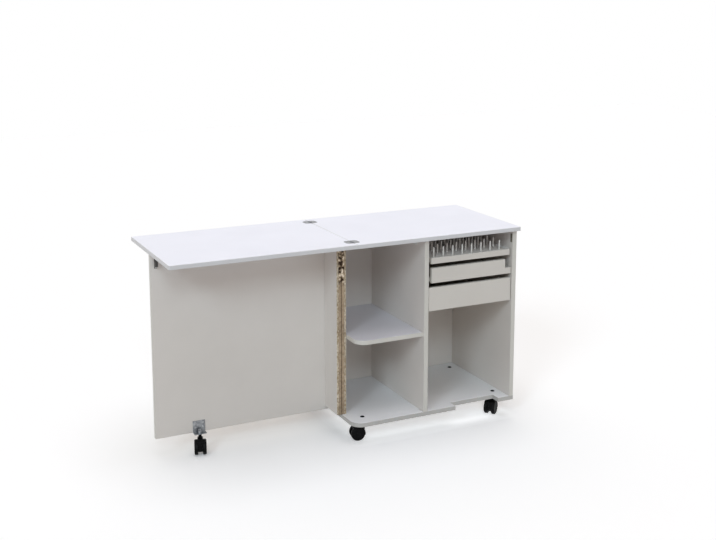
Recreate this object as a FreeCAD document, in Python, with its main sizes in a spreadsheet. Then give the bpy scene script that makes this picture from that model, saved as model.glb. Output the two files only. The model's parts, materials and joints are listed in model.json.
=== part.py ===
import FreeCAD, Part

import os
import re

import Sketcher
from FreeCAD import Placement, Rotation, Vector

# Folding sewing cutting table: a cabinet on casters with a hinged leaf, an L-shaped door that folds
# back to carry the leaf, a spool tray, a shallow tray and a drawer.
# Frame: +X to the cabinet's right, +Y to its back, +Z up. The origin is on the floor, below the seam
# between the fixed top and the leaf, half way along the depth of the tops.

# ---------------------------------------------------------------------------------------------
# Driving sizes in millimetres: alias, value, meaning
# ---------------------------------------------------------------------------------------------
SIZES = [
    ("top_height", 776.0, "floor to the work surface"),
    ("top_depth", 490.0, "front to back of both tops"),
    ("top_width", 700.0, "seam to the right edge of the fixed top"),
    ("leaf_width", 700.0, "seam to the left edge of the leaf"),
    ("top_thickness", 16.0, "fixed top"),
    ("leaf_rest_gap", 0.3, "air between the leaf and the cabinet's left side"),
    ("seam_gap", 1.0, "between the two tops"),
    ("top_corner", 5.0, "outer corners of the tops, seen from above"),
    ("upright_thickness", 18.0, "sides and divider"),
    ("deck_thickness", 16.0, "bottom board and shelf"),
    ("back_thickness", 16.0, "back panel"),
    ("left_reach", 4.0, "how far the cabinet reaches left of the seam"),
    ("right_margin", 6.0, "fixed top beyond the right side"),
    ("front_overhang", 20.0, "fixed top before the cabinet front"),
    ("back_overhang", 10.0, "fixed top behind the cabinet back"),
    ("left_bay", 273.0, "clear width of the left bay"),
    ("divider_setback", 0.5, "divider behind the cabinet front"),
    ("deck_corner", 45.0, "rounded front left corner of the decks"),
    ("shelf_level", 385.0, "underside of the shelf"),
    ("shelf_setback", 10.0, "shelf behind the cabinet front"),
    ("shelf_side_gap", 1.0, "shelf end to the left side"),
    ("shelf_pin_radius", 2.5, "shelf support pin"),
    ("shelf_pin_length", 17.0, "half of it in the upright"),
    ("shelf_pin_inset", 60.0, "pins from the ends of the left side"),
    ("notch_depth", 40.0, "set-back in the bottom board's front edge"),
    ("notch_left_margin", 93.0, "notch left of the parked door caster"),
    ("notch_right_margin", 102.0, "notch right of the parked door caster"),
    # Door
    ("door_thickness", 18.0, "door panel and return strip"),
    ("door_setback", 0.5, "closed door behind the front edge of the tops"),
    ("return_width", 110.5, "return strip, hinge edge to door panel"),
    ("door_bottom", 74.0, "floor to the door panel"),
    ("strip_lift", 1.5, "return strip above the bottom board"),
    ("door_top_gap", 1.2, "door below the fixed top"),
    ("door_reveal", 8.0, "edge of the right side left bare by the closed door"),
    # Piano hinge
    ("piano_gap", 3.2, "between the two hinged edges"),
    ("piano_leaf_width", 12.0, "from the hinge axis"),
    ("piano_leaf_thickness", 1.0, "sheet"),
    ("knuckle_radius", 1.9, "piano hinge knuckle"),
    ("piano_pin_radius", 0.9, "piano hinge pin"),
    ("pin_fit", 0.05, "running fit of a hinge pin, on the radius"),
    ("knuckle_clearance", 0.35, "a leaf to the other leaf's knuckles"),
    ("knuckle_end_gap", 0.4, "between neighbouring knuckles"),
    ("piano_screw_offset", 7.0, "screw line from the hinge axis"),
    ("piano_screw_margin", 25.0, "first screw from the end of the hinge"),
    # Flush hinges of the leaf
    ("flush_axis_lift", 0.3, "hinge axis above the work surface"),
    ("flush_plate_reach", 27.0, "plate from the seam"),
    ("flush_plate_length", 46.0, "plate along the seam"),
    ("flush_plate_thickness", 3.0, "plate"),
    ("flush_plate_corner", 15.0, "rounded outer corners"),
    ("flush_pocket_gap", 0.2, "recess around and under the plate"),
    ("flush_knuckle_radius", 2.2, "knuckle"),
    ("flush_knuckle_length", 8.0, "each of three"),
    ("flush_pin_radius", 1.0, "pin"),
    ("flush_boss_radius", 9.0, "cup under the plate"),
    ("flush_boss_depth", 5.0, "cup under the plate"),
    ("flush_screw_offset", 13.0, "screw from the seam"),
    ("flush_hinge_inset", 54.0, "hinge centre from the front or back edge"),
    # Trays and drawer
    ("front_thickness", 16.0, "tray and drawer fronts"),
    ("front_gap", 3.0, "fronts to the uprights"),
    ("front_setback", 5.0, "fronts behind the cabinet front"),
    ("side_gap", 13.0, "drawer sides to the uprights"),
    ("drawer_side_thickness", 12.0, "sides and backs of the drawers"),
    ("drawer_side_length", 400.0, "sides behind the front"),
    ("drawer_bottom_thickness", 5.0, "bottoms"),
    ("drawer_bottom_lift", 6.0, "bottoms above the lower edge of the sides"),
    ("drawer_side_lift", 4.0, "lower edge of the sides above that of the front"),
    ("spool_front_drop", 96.5, "fixed top to the lower edge of the spool tray front"),
    ("spool_front_height", 23.5, "spool tray front"),
    ("spool_front_inset", 10.0, "left end of the spool tray front from the end of the drawer front"),
    ("spool_front_right_inset", 7.0, "right end of the spool tray front from the end of the drawer front"),
    ("spool_board_drop", 3.0, "spool board below the top of its front"),
    ("spool_board_thickness", 16.0, "spool board"),
    ("spool_pin_radius", 3.0, "spool pin"),
    ("spool_pin_tip", 1.65, "radius at the tip"),
    ("spool_pin_taper", 3.0, "length of the tapered tip"),
    ("spool_pin_gap", 40.0, "tips of the spool pins below the fixed top"),
    ("spool_pin_seat", 10.0, "pin in the board"),
    ("spool_pin_margin", 26.0, "first and last pin from the ends of the board"),
    ("spool_row_pitch", 44.0, "between rows of pins"),
    ("spool_row_start", 14.0, "first row behind the front"),
    ("shallow_front_drop", 171.0, "fixed top to the lower edge of the shallow tray front"),
    ("shallow_front_height", 58.0, "shallow tray front"),
    ("shallow_front_inset", 12.0, "left end of the shallow tray front from the end of the drawer front"),
    ("shallow_side_height", 18.0, "shallow tray sides"),
    ("grip_width", 26.0, "finger notch at the right end of the shallow tray front"),
    ("grip_depth", 34.5, "finger notch"),
    ("drawer_front_drop", 279.0, "fixed top to the lower edge of the drawer front"),
    ("drawer_front_height", 90.5, "drawer front"),
    ("drawer_side_height", 76.0, "drawer sides"),
    ("rail_height", 10.0, "rail on a drawer side"),
    ("rail_play", 0.6, "rail to the channel, up and down"),
    ("rail_side_play", 1.0, "rail to the web of the channel"),
    ("rail_start", 2.0, "rail behind the front"),
    ("rail_end", 20.0, "rail before the end of the side"),
    ("rail_lift", 9.0, "middle of the rail above the lower edge of the side"),
    ("channel_wall", 1.5, "sheet of the channel"),
    ("channel_reach", 10.0, "channel from the upright"),
    ("channel_start", 5.0, "channel behind the fronts"),
    ("channel_end", 10.0, "channel before the back panel"),
    # Casters
    ("wheel_radius", 27.0, "wheel"),
    ("wheel_width", 13.0, "wheel"),
    ("wheel_inner", 9.0, "middle of the caster to a wheel"),
    ("axle_radius", 4.0, "axle"),
    ("axle_fit", 0.05, "running fit of the axle, on the radius"),
    ("axle_setback", 2.0, "ends of the axle inside the wheels"),
    ("trail", 20.0, "axle behind the swivel axis"),
    ("hood_wall", 1.7, "shell of the hood"),
    ("wheel_clearance", 0.8, "wheel to the hood"),
    ("web_inset", 9.0, "web inside the rims of the wheels"),
    ("web_gap", 0.6, "web to the wheels"),
    ("hood_rise", 4.0, "top of the hood above the wheels"),
    ("hood_neck_radius", 10.0, "neck of the hood"),
    ("hood_skirt", 6.0, "hood below the axle"),
    ("stem_radius", 4.0, "swivel stem"),
    ("stem_fit", 0.05, "running fit of the stem, on the radius"),
    ("stem_depth", 24.0, "stem in the hood"),
    ("stem_end_gap", 2.0, "below the stem in its socket"),
    ("collar_radius", 6.0, "collar between hood and plate"),
    ("collar_height", 9.4, "collar under a caster plate"),
    ("collar_gap", 0.6, "hood to the collar"),
    ("plate_side", 44.0, "caster plate"),
    ("plate_thickness", 3.0, "caster plate"),
    ("plate_screw_inset", 6.0, "plate screw from the edges"),
    ("caster_inset_left", 61.0, "swivel axis from the cabinet's left side"),
    ("caster_inset_right", 58.0, "swivel axis from the cabinet's right side"),
    ("caster_inset_end", 63.0, "rear swivel axes from the cabinet's back"),
    ("front_left_inset", 62.0, "front left swivel axis from the cabinet's front"),
    ("front_right_inset", 78.0, "front right swivel axis from the cabinet's front"),
    ("front_right_margin", 46.5, "front right swivel axis from the cabinet's right side"),
    ("front_left_turn", 168.0, "degrees: where each caster trails to"),
    ("front_right_turn", 220.0, "degrees"),
    ("rear_left_turn", 100.0, "degrees"),
    ("rear_right_turn", 226.0, "degrees"),
    ("door_caster_turn", 254.0, "degrees"),
    ("cap_radius", 9.0, "plastic cap above a caster"),
    ("cap_top_radius", 6.3, "flat top of the cap"),
    ("cap_thickness", 2.5, "plastic cap"),
    # Bracket that carries the door on its own caster
    ("door_caster_reach", 527.0, "door caster from the hinged end of the door"),
    ("door_caster_offset", 12.0, "swivel axis from the door's inner face"),
    ("bracket_width", 46.0, "bracket"),
    ("bracket_height", 46.0, "bracket"),
    ("bracket_depth", 24.0, "bracket"),
    ("bracket_thickness", 3.0, "sheet of the bracket"),
    ("socket_radius", 8.0, "socket on the bracket's foot"),
    ("socket_height", 10.0, "socket on the bracket's foot"),
    ("door_collar_height", 13.4, "collar under the bracket"),
    ("bracket_screw_spread", 28.0, "between the columns of bracket screws"),
    ("bracket_screw_low", 22.0, "lower bracket screws above the bracket's lower edge"),
    ("bracket_screw_high", 38.0, "upper bracket screws above the bracket's lower edge"),
    ("nut_radius", 7.0, "nut on the door caster's stem, across corners"),
    ("nut_height", 6.0, "nut"),
    # Catch
    ("catch_inset", 14.5, "catch from the free end of the door"),
    ("catch_width", 9.5, "catch housing"),
    ("catch_height", 22.0, "catch housing"),
    ("catch_depth", 16.0, "catch housing"),
    ("catch_drop", 19.0, "catch below the door's top edge"),
    ("catch_ear", 8.0, "screw ears above and below the housing"),
    ("catch_ear_thickness", 3.0, "screw ears"),
    ("strike_thickness", 1.0, "strike plate"),
    ("strike_depth", 12.0, "strike plate"),
    ("strike_height", 34.0, "strike plate"),
    # Brackets under the fixed top
    ("angle_leg", 30.0, "both legs of an angle"),
    ("angle_length", 40.0, "angle"),
    ("angle_thickness", 2.0, "angle"),
    ("angle_inset", 60.0, "angle from the ends of its upright"),
    # Fasteners
    ("screw_clearance", 0.05, "around every screw, on the radius"),
    ("wood_screw_radius", 1.8, "chipboard screw"),
    ("wood_screw_head", 3.4, "chipboard screw head"),
    ("wood_screw_head_height", 1.8, "chipboard screw head"),
    ("wood_screw_length", 13.0, "chipboard screw"),
    ("carcass_screw_radius", 3.2, "carcass screw"),
    ("carcass_screw_head", 5.0, "carcass screw head"),
    ("carcass_screw_head_height", 3.5, "carcass screw head"),
    ("carcass_screw_length", 50.0, "carcass screw"),
    ("carcass_screw_inset", 35.0, "carcass screws from the ends of an upright"),
]

# Counts of what repeats
PIANO_KNUCKLES = 27
PIANO_SCREWS = 7
SPOOL_COLUMNS = 8
SPOOL_ROWS = 6
STRIP_SCREWS = 5

# ---------------------------------------------------------------------------------------------
# Places worked out from the sizes
# ---------------------------------------------------------------------------------------------
PLACES = {
    "front_edge": "-top_depth / 2",
    "back_edge": "top_depth / 2",
    "underside": "top_height - top_thickness",
    "carcass_left": "-left_reach",
    "carcass_right": "top_width - right_margin",
    "carcass_front": "front_edge + front_overhang",
    "carcass_back": "back_edge - back_overhang",
    "hood_top": "2 * wheel_radius + hood_rise",
    "caster_height": "hood_top + collar_gap + collar_height + plate_thickness",
    "deck_top": "caster_height + deck_thickness",
    "left_inner": "carcass_left + upright_thickness",
    "divider_left": "left_inner + left_bay",
    "divider_right": "divider_left + upright_thickness",
    "right_inner": "carcass_right - upright_thickness",
    "back_face": "carcass_back - back_thickness",
    "upright_height": "underside - deck_top",
    # Door, closed across the front and folded back by half a turn about the hinge axis
    "closed_outer": "front_edge + door_setback",
    "closed_inner": "closed_outer + door_thickness",
    "hinge_x": "carcass_left - piano_gap / 2",
    "hinge_y": "closed_inner + return_width + piano_gap / 2",
    "side_front": "hinge_y + piano_gap / 2",
    "open_inner": "2 * hinge_y - closed_inner",
    "door_hinged_end": "2 * hinge_x - carcass_left",
    "door_free_end": "2 * hinge_x - carcass_right + door_reveal",
    "door_top": "underside - door_top_gap",
    "strip_bottom": "deck_top + strip_lift",
    "piano_length": "door_top - strip_bottom",
    "knuckle_pitch": f"piano_length / {PIANO_KNUCKLES}",
    "edge_face": "side_front - piano_leaf_thickness",
    # Door caster, as it stands with the door folded back, and where it parks with the door closed
    "door_caster_x": "door_hinged_end - door_caster_reach",
    "door_caster_y": "open_inner - door_caster_offset",
    "parked_x": "2 * hinge_x - door_caster_x",
    # Flush hinges
    "flush_axis_z": "top_height + flush_axis_lift",
    "front_hinge_y": "front_edge + flush_hinge_inset",
    "rear_hinge_y": "back_edge - flush_hinge_inset",
    # Trays and drawer
    "spool_front_level": "underside - spool_front_drop",
    "spool_pin_top": "underside - spool_pin_gap",
    "shallow_front_level": "underside - shallow_front_drop",
    "drawer_front_level": "underside - drawer_front_drop",
    "front_left_x": "divider_right + front_gap",
    "front_length": "right_inner - divider_right - 2 * front_gap",
    "front_right_x": "right_inner - front_gap",
    "front_y": "carcass_front + front_setback",
    "side_y": "front_y + front_thickness",
    "box_left": "divider_right + side_gap",
    "box_right": "right_inner - side_gap",
    "box_inner": "box_right - box_left - 2 * drawer_side_thickness",
    "spool_board_level": "spool_front_level + spool_front_height - spool_board_drop - spool_board_thickness",
    "spool_rail_level": "spool_board_level + spool_board_thickness / 2",
    "shallow_rail_level": "shallow_front_level + drawer_side_lift + rail_lift",
    "drawer_rail_level": "drawer_front_level + drawer_side_lift + rail_lift",
    # Casters
    "caster_left_x": "carcass_left + caster_inset_left",
    "caster_right_x": "carcass_right - caster_inset_right",
    "caster_rear_y": "carcass_back - caster_inset_end",
    "front_left_y": "carcass_front + front_left_inset",
    "caster_front_right_x": "carcass_right - front_right_margin",
    "caster_front_right_y": "carcass_front + front_right_inset",
    "plate_level": "caster_height - plate_thickness",
    "hood_radius": "wheel_radius + wheel_clearance + hood_wall",
    "web_radius": "wheel_radius - web_inset",
    "stem_low": "hood_top - stem_depth",
    "collar_level": "hood_top + collar_gap",
    "bracket_level": "collar_level + door_collar_height",
    "wheel_outer": "wheel_inner + wheel_width",
    # Catch, seen with the door folded back
    "catch_x": "door_free_end + catch_inset",
    "catch_z": "door_top - catch_drop - catch_height",
}

PARTS = {}

doc = FreeCAD.newDocument("SewingTable")
sheet = doc.addObject("Spreadsheet::Sheet", "Sizes")
for row, (alias, size, meaning) in enumerate(SIZES, start=1):
    sheet.set(f"A{row}", alias)
    sheet.set(f"B{row}", str(size))
    sheet.setAlias(f"B{row}", alias)
    sheet.set(f"C{row}", meaning)
doc.recompute()
ALIASES = {alias for alias, size, meaning in SIZES}

# ---------------------------------------------------------------------------------------------
# Making and placing pieces
# ---------------------------------------------------------------------------------------------
TURNS = {
    "up": Rotation(),
    "down": Rotation(Vector(1, 0, 0), 180),
    "right": Rotation(Vector(0, 1, 0), 90),
    "left": Rotation(Vector(0, 1, 0), -90),
    "back": Rotation(Vector(1, 0, 0), -90),
    "front": Rotation(Vector(1, 0, 0), 90),
}


def formula(text):
    """Write places out as sizes, and point each size at its cell."""

    def expand(found):
        word = found.group(0)
        if word in PLACES:
            return f"({formula(PLACES[word])})"
        if word in ALIASES:
            return f"Sizes.{word}"
        return word

    return re.sub(r"[a-z][a-z_0-9]*", expand, str(text))


def bind(piece, name, text):
    """Bind one property to the sheet."""
    piece.setExpression(name, formula(text))


def place(piece, x, y, z, turn="up"):
    """Place a piece; the turn says where its own +Z axis points."""
    piece.Placement = Placement(Vector(0, 0, 0), TURNS[turn])
    bind(piece, "Placement.Base.x", x)
    bind(piece, "Placement.Base.y", y)
    bind(piece, "Placement.Base.z", z)
    return piece


def spin(piece, angle):
    """Turn a piece about the vertical through its own base point."""
    piece.Placement = Placement(piece.Placement.Base, Rotation(Vector(0, 0, 1), 1))
    bind(piece, "Placement.Rotation.Angle", angle)
    return piece


def box(x, y, z, length, width, height):
    """A box from its lowest corner."""
    piece = doc.addObject("Part::Box", "Box")
    bind(piece, "Length", length)
    bind(piece, "Width", width)
    bind(piece, "Height", height)
    return place(piece, x, y, z)


def cylinder(x, y, z, radius, height, turn="up"):
    """A cylinder from the middle of its base, along the turn."""
    piece = doc.addObject("Part::Cylinder", "Cylinder")
    bind(piece, "Radius", radius)
    bind(piece, "Height", height)
    return place(piece, x, y, z, turn)


def cone(x, y, z, radius, tip, height, turn="up"):
    """A cut cone from the middle of its base, along the turn."""
    piece = doc.addObject("Part::Cone", "Cone")
    bind(piece, "Radius1", radius)
    bind(piece, "Radius2", tip)
    bind(piece, "Height", height)
    return place(piece, x, y, z, turn)


def fuse(*pieces):
    """Join touching pieces into one solid."""
    piece = doc.addObject("Part::MultiFuse", "Fuse")
    piece.Shapes = list(pieces)
    piece.Refine = True
    return piece


def group(*pieces):
    """Keep separate solids together."""
    piece = doc.addObject("Part::Compound", "Group")
    piece.Links = list(pieces)
    return piece


def cut(base, *tools):
    """Take the tools away from the base."""
    piece = doc.addObject("Part::Cut", "Cut")
    piece.Base = base
    piece.Tool = tools[0] if len(tools) == 1 else group(*tools)
    piece.Refine = True
    return piece


def named(label, piece):
    """Give a finished sub-part the name of its file."""
    piece.Label = label
    PARTS[label] = piece
    return piece


def panel(x, y, z, length, width, height, corners=(), radius="0"):
    """A flat board as a padded rectangle, with rounded upright edges at the named corners."""
    body = doc.addObject("PartDesign::Body", "Panel")
    plane = next(item for item in body.Origin.OriginFeatures if item.Role == "XY_Plane")
    sketch = body.newObject("Sketcher::SketchObject", "Outline")
    sketch.AttachmentSupport = (plane, [""])
    sketch.MapMode = "FlatFace"
    start = [Vector(0, 0, 0), Vector(100, 0, 0), Vector(100, 100, 0), Vector(0, 100, 0)]
    for index in range(4):
        sketch.addGeometry(Part.LineSegment(start[index], start[(index + 1) % 4]), False)
    for index in range(4):
        sketch.addConstraint(Sketcher.Constraint("Coincident", index, 2, (index + 1) % 4, 1))
    for index in (0, 2):
        sketch.addConstraint(Sketcher.Constraint("Horizontal", index))
    for index in (1, 3):
        sketch.addConstraint(Sketcher.Constraint("Vertical", index))
    sketch.addConstraint(Sketcher.Constraint("Coincident", 0, 1, -1, 1))
    for name, line, text in (("Length", 0, length), ("Width", 1, width)):
        kind = "DistanceX" if line == 0 else "DistanceY"
        index = sketch.addConstraint(Sketcher.Constraint(kind, line, 1, line, 2, 100.0))
        sketch.renameConstraint(index, name)
        sketch.setExpression(f"Constraints.{name}", formula(text))
    pad = body.newObject("PartDesign::Pad", "Thickness")
    pad.Profile = sketch
    bind(pad, "Length", height)
    doc.recompute()
    if corners:
        fillet = body.newObject("PartDesign::Fillet", "Corner")
        fillet.Base = (pad, corner_edges(pad.Shape, corners))
        bind(fillet, "Radius", radius)
    return place(body, x, y, z)


def corner_edges(shape, corners):
    """Names of the upright edges at corners such as "left front"."""
    limits = shape.BoundBox
    sides = {"left": limits.XMin, "right": limits.XMax, "front": limits.YMin, "back": limits.YMax}
    names = []
    for number, edge in enumerate(shape.Edges, start=1):
        upright = edge.BoundBox.ZLength > limits.ZLength / 2
        middle = edge.CenterOfMass
        for corner in corners:
            x, y = (sides[word] for word in corner.split())
            if upright and abs(middle.x - x) < 0.01 and abs(middle.y - y) < 0.01:
                names.append(f"Edge{number}")
    return names


def screw(kind, x, y, z, turn, sunk=True):
    """A screw whose head starts at the point; sunk heads are conical, others are flat discs."""
    shank = cylinder(x, y, z, f"{kind}_radius", f"{kind}_length", turn)
    if sunk:
        head = cone(x, y, z, f"{kind}_head", f"{kind}_radius", f"{kind}_head_height", turn)
    else:
        head = cylinder(x, y, z, f"{kind}_head", f"{kind}_head_height", turn)
    return fuse(shank, head)


def screw_hole(kind, x, y, z, turn, sunk=True):
    """The hole for a screw, clear of it all round."""
    around = "screw_clearance"
    shank = cylinder(x, y, z, f"{kind}_radius + {around}", f"{kind}_length + {around}", turn)
    if not sunk:
        return shank
    head = cone(x, y, z, f"{kind}_head + {around}", f"{kind}_radius + {around}",
                f"{kind}_head_height + {around}", turn)
    return fuse(shank, head)


# ---------------------------------------------------------------------------------------------
# Where the fasteners go: each place is used for the screw and for its holes
# ---------------------------------------------------------------------------------------------
def spread(count, first, last):
    """Evenly spread places between two formulas."""
    return [f"({first}) + (({last}) - ({first})) * {index / (count - 1)}" for index in range(count)]


PIANO_LEVELS = spread(PIANO_SCREWS, "strip_bottom + piano_screw_margin", "door_top - piano_screw_margin")
CABINET_PIANO_SCREWS = [("hinge_x + piano_screw_offset", "edge_face", z, "back") for z in PIANO_LEVELS]
DOOR_PIANO_SCREWS = [("hinge_x - piano_screw_offset", "edge_face", z, "back") for z in PIANO_LEVELS]
STRIP_SCREW_PLACES = [
    ("door_hinged_end - door_thickness / 2", "open_inner + door_thickness", level, "front")
    for level in spread(STRIP_SCREWS, "strip_bottom + carcass_screw_inset", "door_top - carcass_screw_inset")
]
HINGE_LINES = ("front_hinge_y", "rear_hinge_y")
LEAF_HINGE_SCREWS = [("-flush_screw_offset", y, "top_height", "down") for y in HINGE_LINES]
FIXED_HINGE_SCREWS = [("flush_screw_offset", y, "top_height", "down") for y in HINGE_LINES]
UPRIGHT_LINES = {
    "left": ("carcass_left + upright_thickness / 2", "side_front"),
    "divider": ("divider_left + upright_thickness / 2", "carcass_front + divider_setback"),
    "right": ("carcass_right - upright_thickness / 2", "carcass_front"),
}


def carcass_places(upright):
    """Two screws from below into one upright."""
    x, start = UPRIGHT_LINES[upright]
    end = "back_face" if upright == "divider" else "carcass_back"
    ys = (f"{start} + carcass_screw_inset", f"{end} - carcass_screw_inset")
    return [(x, y, "caster_height", "up") for y in ys]


CASTERS = {
    "caster_front_left": ("caster_left_x", "front_left_y", "front_left_turn"),
    "caster_front_right": ("caster_front_right_x", "caster_front_right_y", "front_right_turn"),
    "caster_rear_left": ("caster_left_x", "caster_rear_y", "rear_left_turn"),
    "caster_rear_right": ("caster_right_x", "caster_rear_y", "rear_right_turn"),
    "caster_door": ("door_caster_x", "door_caster_y", "door_caster_turn"),
}
CABINET_CASTERS = [CASTERS[name] for name in CASTERS if name != "caster_door"]
PLATE_SCREWS = [
    (f"{x} + ({across}) * (plate_side / 2 - plate_screw_inset)",
     f"{y} + ({along}) * (plate_side / 2 - plate_screw_inset)", "plate_level", "up")
    for x, y, turn in CABINET_CASTERS for across in (-1, 1) for along in (-1, 1)
]
# Angles under the fixed top: upright face, direction of the angle from that face, where along it
ANGLES = [
    (face, way, y)
    for face, way, start, end in (
        ("left_inner", 1, "side_front", "back_face"),
        ("divider_left", -1, "carcass_front", "back_face"),
        ("right_inner", -1, "carcass_front + angle_inset", "back_face"),
    )
    for y in (f"{start} + angle_inset", f"{end} - angle_inset - angle_length")
]


def angle_screw_places(face, way, y):
    """One screw up into the top and one sideways into the upright."""
    half = "angle_leg / 2 + angle_thickness"
    middle = f"{y} + angle_length / 2"
    head = "wood_screw_head_height"
    up = (f"{face} + ({way}) * ({half})", middle, f"underside - angle_thickness - {head}", "up")
    side = (f"{face} + ({way}) * (angle_thickness + {head})", middle, f"underside - ({half})",
            "left" if way > 0 else "right")
    return up, side


BRACKET_SCREWS = [
    (f"door_caster_x + ({across}) * bracket_screw_spread / 2",
     "open_inner - bracket_thickness - wood_screw_head_height", f"bracket_level + {rise}", "back")
    for across in (-1, 1)
    for rise in ("bracket_screw_low", "bracket_screw_high")
]
CATCH_SCREWS = [
    ("catch_x + catch_width / 2", "open_inner - catch_ear_thickness - wood_screw_head_height", level, "back")
    for level in ("catch_z - catch_ear / 2", "catch_z + catch_height + catch_ear / 2")
]


def screws(kind, places, sunk=True):
    """A group of equal screws."""
    return group(*[screw(kind, x, y, z, turn, sunk) for x, y, z, turn in places])


def holes(kind, places, sunk=True):
    """The holes for a group of equal screws."""
    return [screw_hole(kind, x, y, z, turn, sunk) for x, y, z, turn in places]


# ---------------------------------------------------------------------------------------------
# Tops and their flush hinges
# ---------------------------------------------------------------------------------------------
def flush_plate(side, y, grow="0"):
    """A rounded plate on one side of the seam (-1 is the leaf); grow makes the recess for it."""
    length = f"flush_plate_length + 2 * ({grow})"
    reach = f"flush_plate_reach - seam_gap / 2 + ({grow})"
    depth = f"flush_plate_thickness + ({grow})"
    left = "seam_gap / 2" if side > 0 else f"-flush_plate_reach - ({grow})"
    corners = ("right front", "right back") if side > 0 else ("left front", "left back")
    plate = panel(left, f"{y} - ({length}) / 2", f"top_height - ({depth})", reach, length, depth,
                  corners, f"flush_plate_corner + ({grow})")
    boss = cylinder(f"({side}) * flush_screw_offset", y, f"top_height - flush_plate_thickness",
                    f"flush_boss_radius + ({grow})", f"flush_boss_depth + ({grow})", "down")
    return fuse(plate, boss)


def flush_knuckles(y, indices, radius, reach="0"):
    """Knuckles of one flush hinge, numbered from the front: 0, 1, 2."""
    start = f"{y} - 1.5 * flush_knuckle_length + knuckle_end_gap / 2 - ({reach})"
    length = f"flush_knuckle_length - knuckle_end_gap + 2 * ({reach})"
    return [
        cylinder("0", f"{start} + {index} * flush_knuckle_length", "flush_axis_z", radius, length, "back")
        for index in indices
    ]


def flush_half(side, y, own, other, screw_places):
    """Plate, cup and knuckles of one half of a flush hinge."""
    solid = fuse(flush_plate(side, y), *flush_knuckles(y, own, "flush_knuckle_radius"))
    relief = flush_knuckles(y, other, "flush_knuckle_radius + knuckle_clearance", "knuckle_end_gap / 2")
    bore = cylinder("0", f"{y} - flush_plate_length", "flush_axis_z", "flush_pin_radius + pin_fit",
                    "2 * flush_plate_length", "back")
    return cut(solid, bore, *relief, *holes("wood_screw", screw_places))


def make_tops():
    """The fixed top, the leaf and their hinges."""
    depth = "top_depth"
    fixed = panel("seam_gap / 2", "front_edge", "underside", "top_width - seam_gap / 2", depth,
                  "top_thickness", ("right front", "right back"), "top_corner")
    leaf = panel("-leaf_width", "front_edge", "underside + leaf_rest_gap", "leaf_width - seam_gap / 2", depth,
                 "top_thickness - leaf_rest_gap", ("left front", "left back"), "top_corner")
    fixed_recess = [flush_plate(1, y, "flush_pocket_gap") for y in HINGE_LINES]
    leaf_recess = [flush_plate(-1, y, "flush_pocket_gap") for y in HINGE_LINES]
    angle_holes = [hole for angle in ANGLES
                   for hole in holes("wood_screw", angle_screw_places(*angle)[:1], sunk=False)]
    named("fixed_top", cut(fixed, *fixed_recess, *holes("wood_screw", FIXED_HINGE_SCREWS), *angle_holes))
    named("folding_leaf", cut(leaf, *leaf_recess, *holes("wood_screw", LEAF_HINGE_SCREWS)))
    named("fixed_hinge_plates", group(*[
        flush_half(1, y, (0, 2), (1,), [place_]) for y, place_ in zip(HINGE_LINES, FIXED_HINGE_SCREWS)
    ]))
    named("leaf_hinge_plates", group(*[
        flush_half(-1, y, (1,), (0, 2), [place_]) for y, place_ in zip(HINGE_LINES, LEAF_HINGE_SCREWS)
    ]))
    pin_length = "3 * flush_knuckle_length - knuckle_end_gap"
    named("leaf_hinge_pins", group(*[
        cylinder("0", f"{y} - ({pin_length}) / 2", "flush_axis_z", "flush_pin_radius", pin_length, "back")
        for y in HINGE_LINES
    ]))
    named("fixed_hinge_screws", screws("wood_screw", FIXED_HINGE_SCREWS))
    named("leaf_hinge_screws", screws("wood_screw", LEAF_HINGE_SCREWS))


# ---------------------------------------------------------------------------------------------
# Carcass
# ---------------------------------------------------------------------------------------------
def shelf_pin_places():
    """Pins under the shelf: in the left side pointing right, in the divider pointing left."""
    half = "shelf_pin_length / 2"
    level = "shelf_level - shelf_pin_radius"
    ys = ("side_front + shelf_pin_inset", "back_face - shelf_pin_inset")
    left = [(f"left_inner - {half}", y, level, "right") for y in ys]
    right = [(f"divider_left + {half}", y, level, "left") for y in ys]
    return left, right


def pin_holes(places):
    """Holes for shelf pins."""
    radius = "shelf_pin_radius + screw_clearance"
    return [cylinder(x, y, z, radius, "shelf_pin_length / 2", turn) for x, y, z, turn in places]


def angle_holes_of(face):
    """Screw holes of the angles on one upright."""
    places = [angle_screw_places(*angle)[1] for angle in ANGLES if angle[0] == face]
    return holes("wood_screw", places, sunk=False)


def strike_place():
    """Screw that holds the strike plate."""
    level = "catch_z + catch_height / 2"
    y = "closed_inner + front_setback + strike_depth / 2"
    return [("right_inner - strike_thickness", y, level, "right")]


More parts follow.
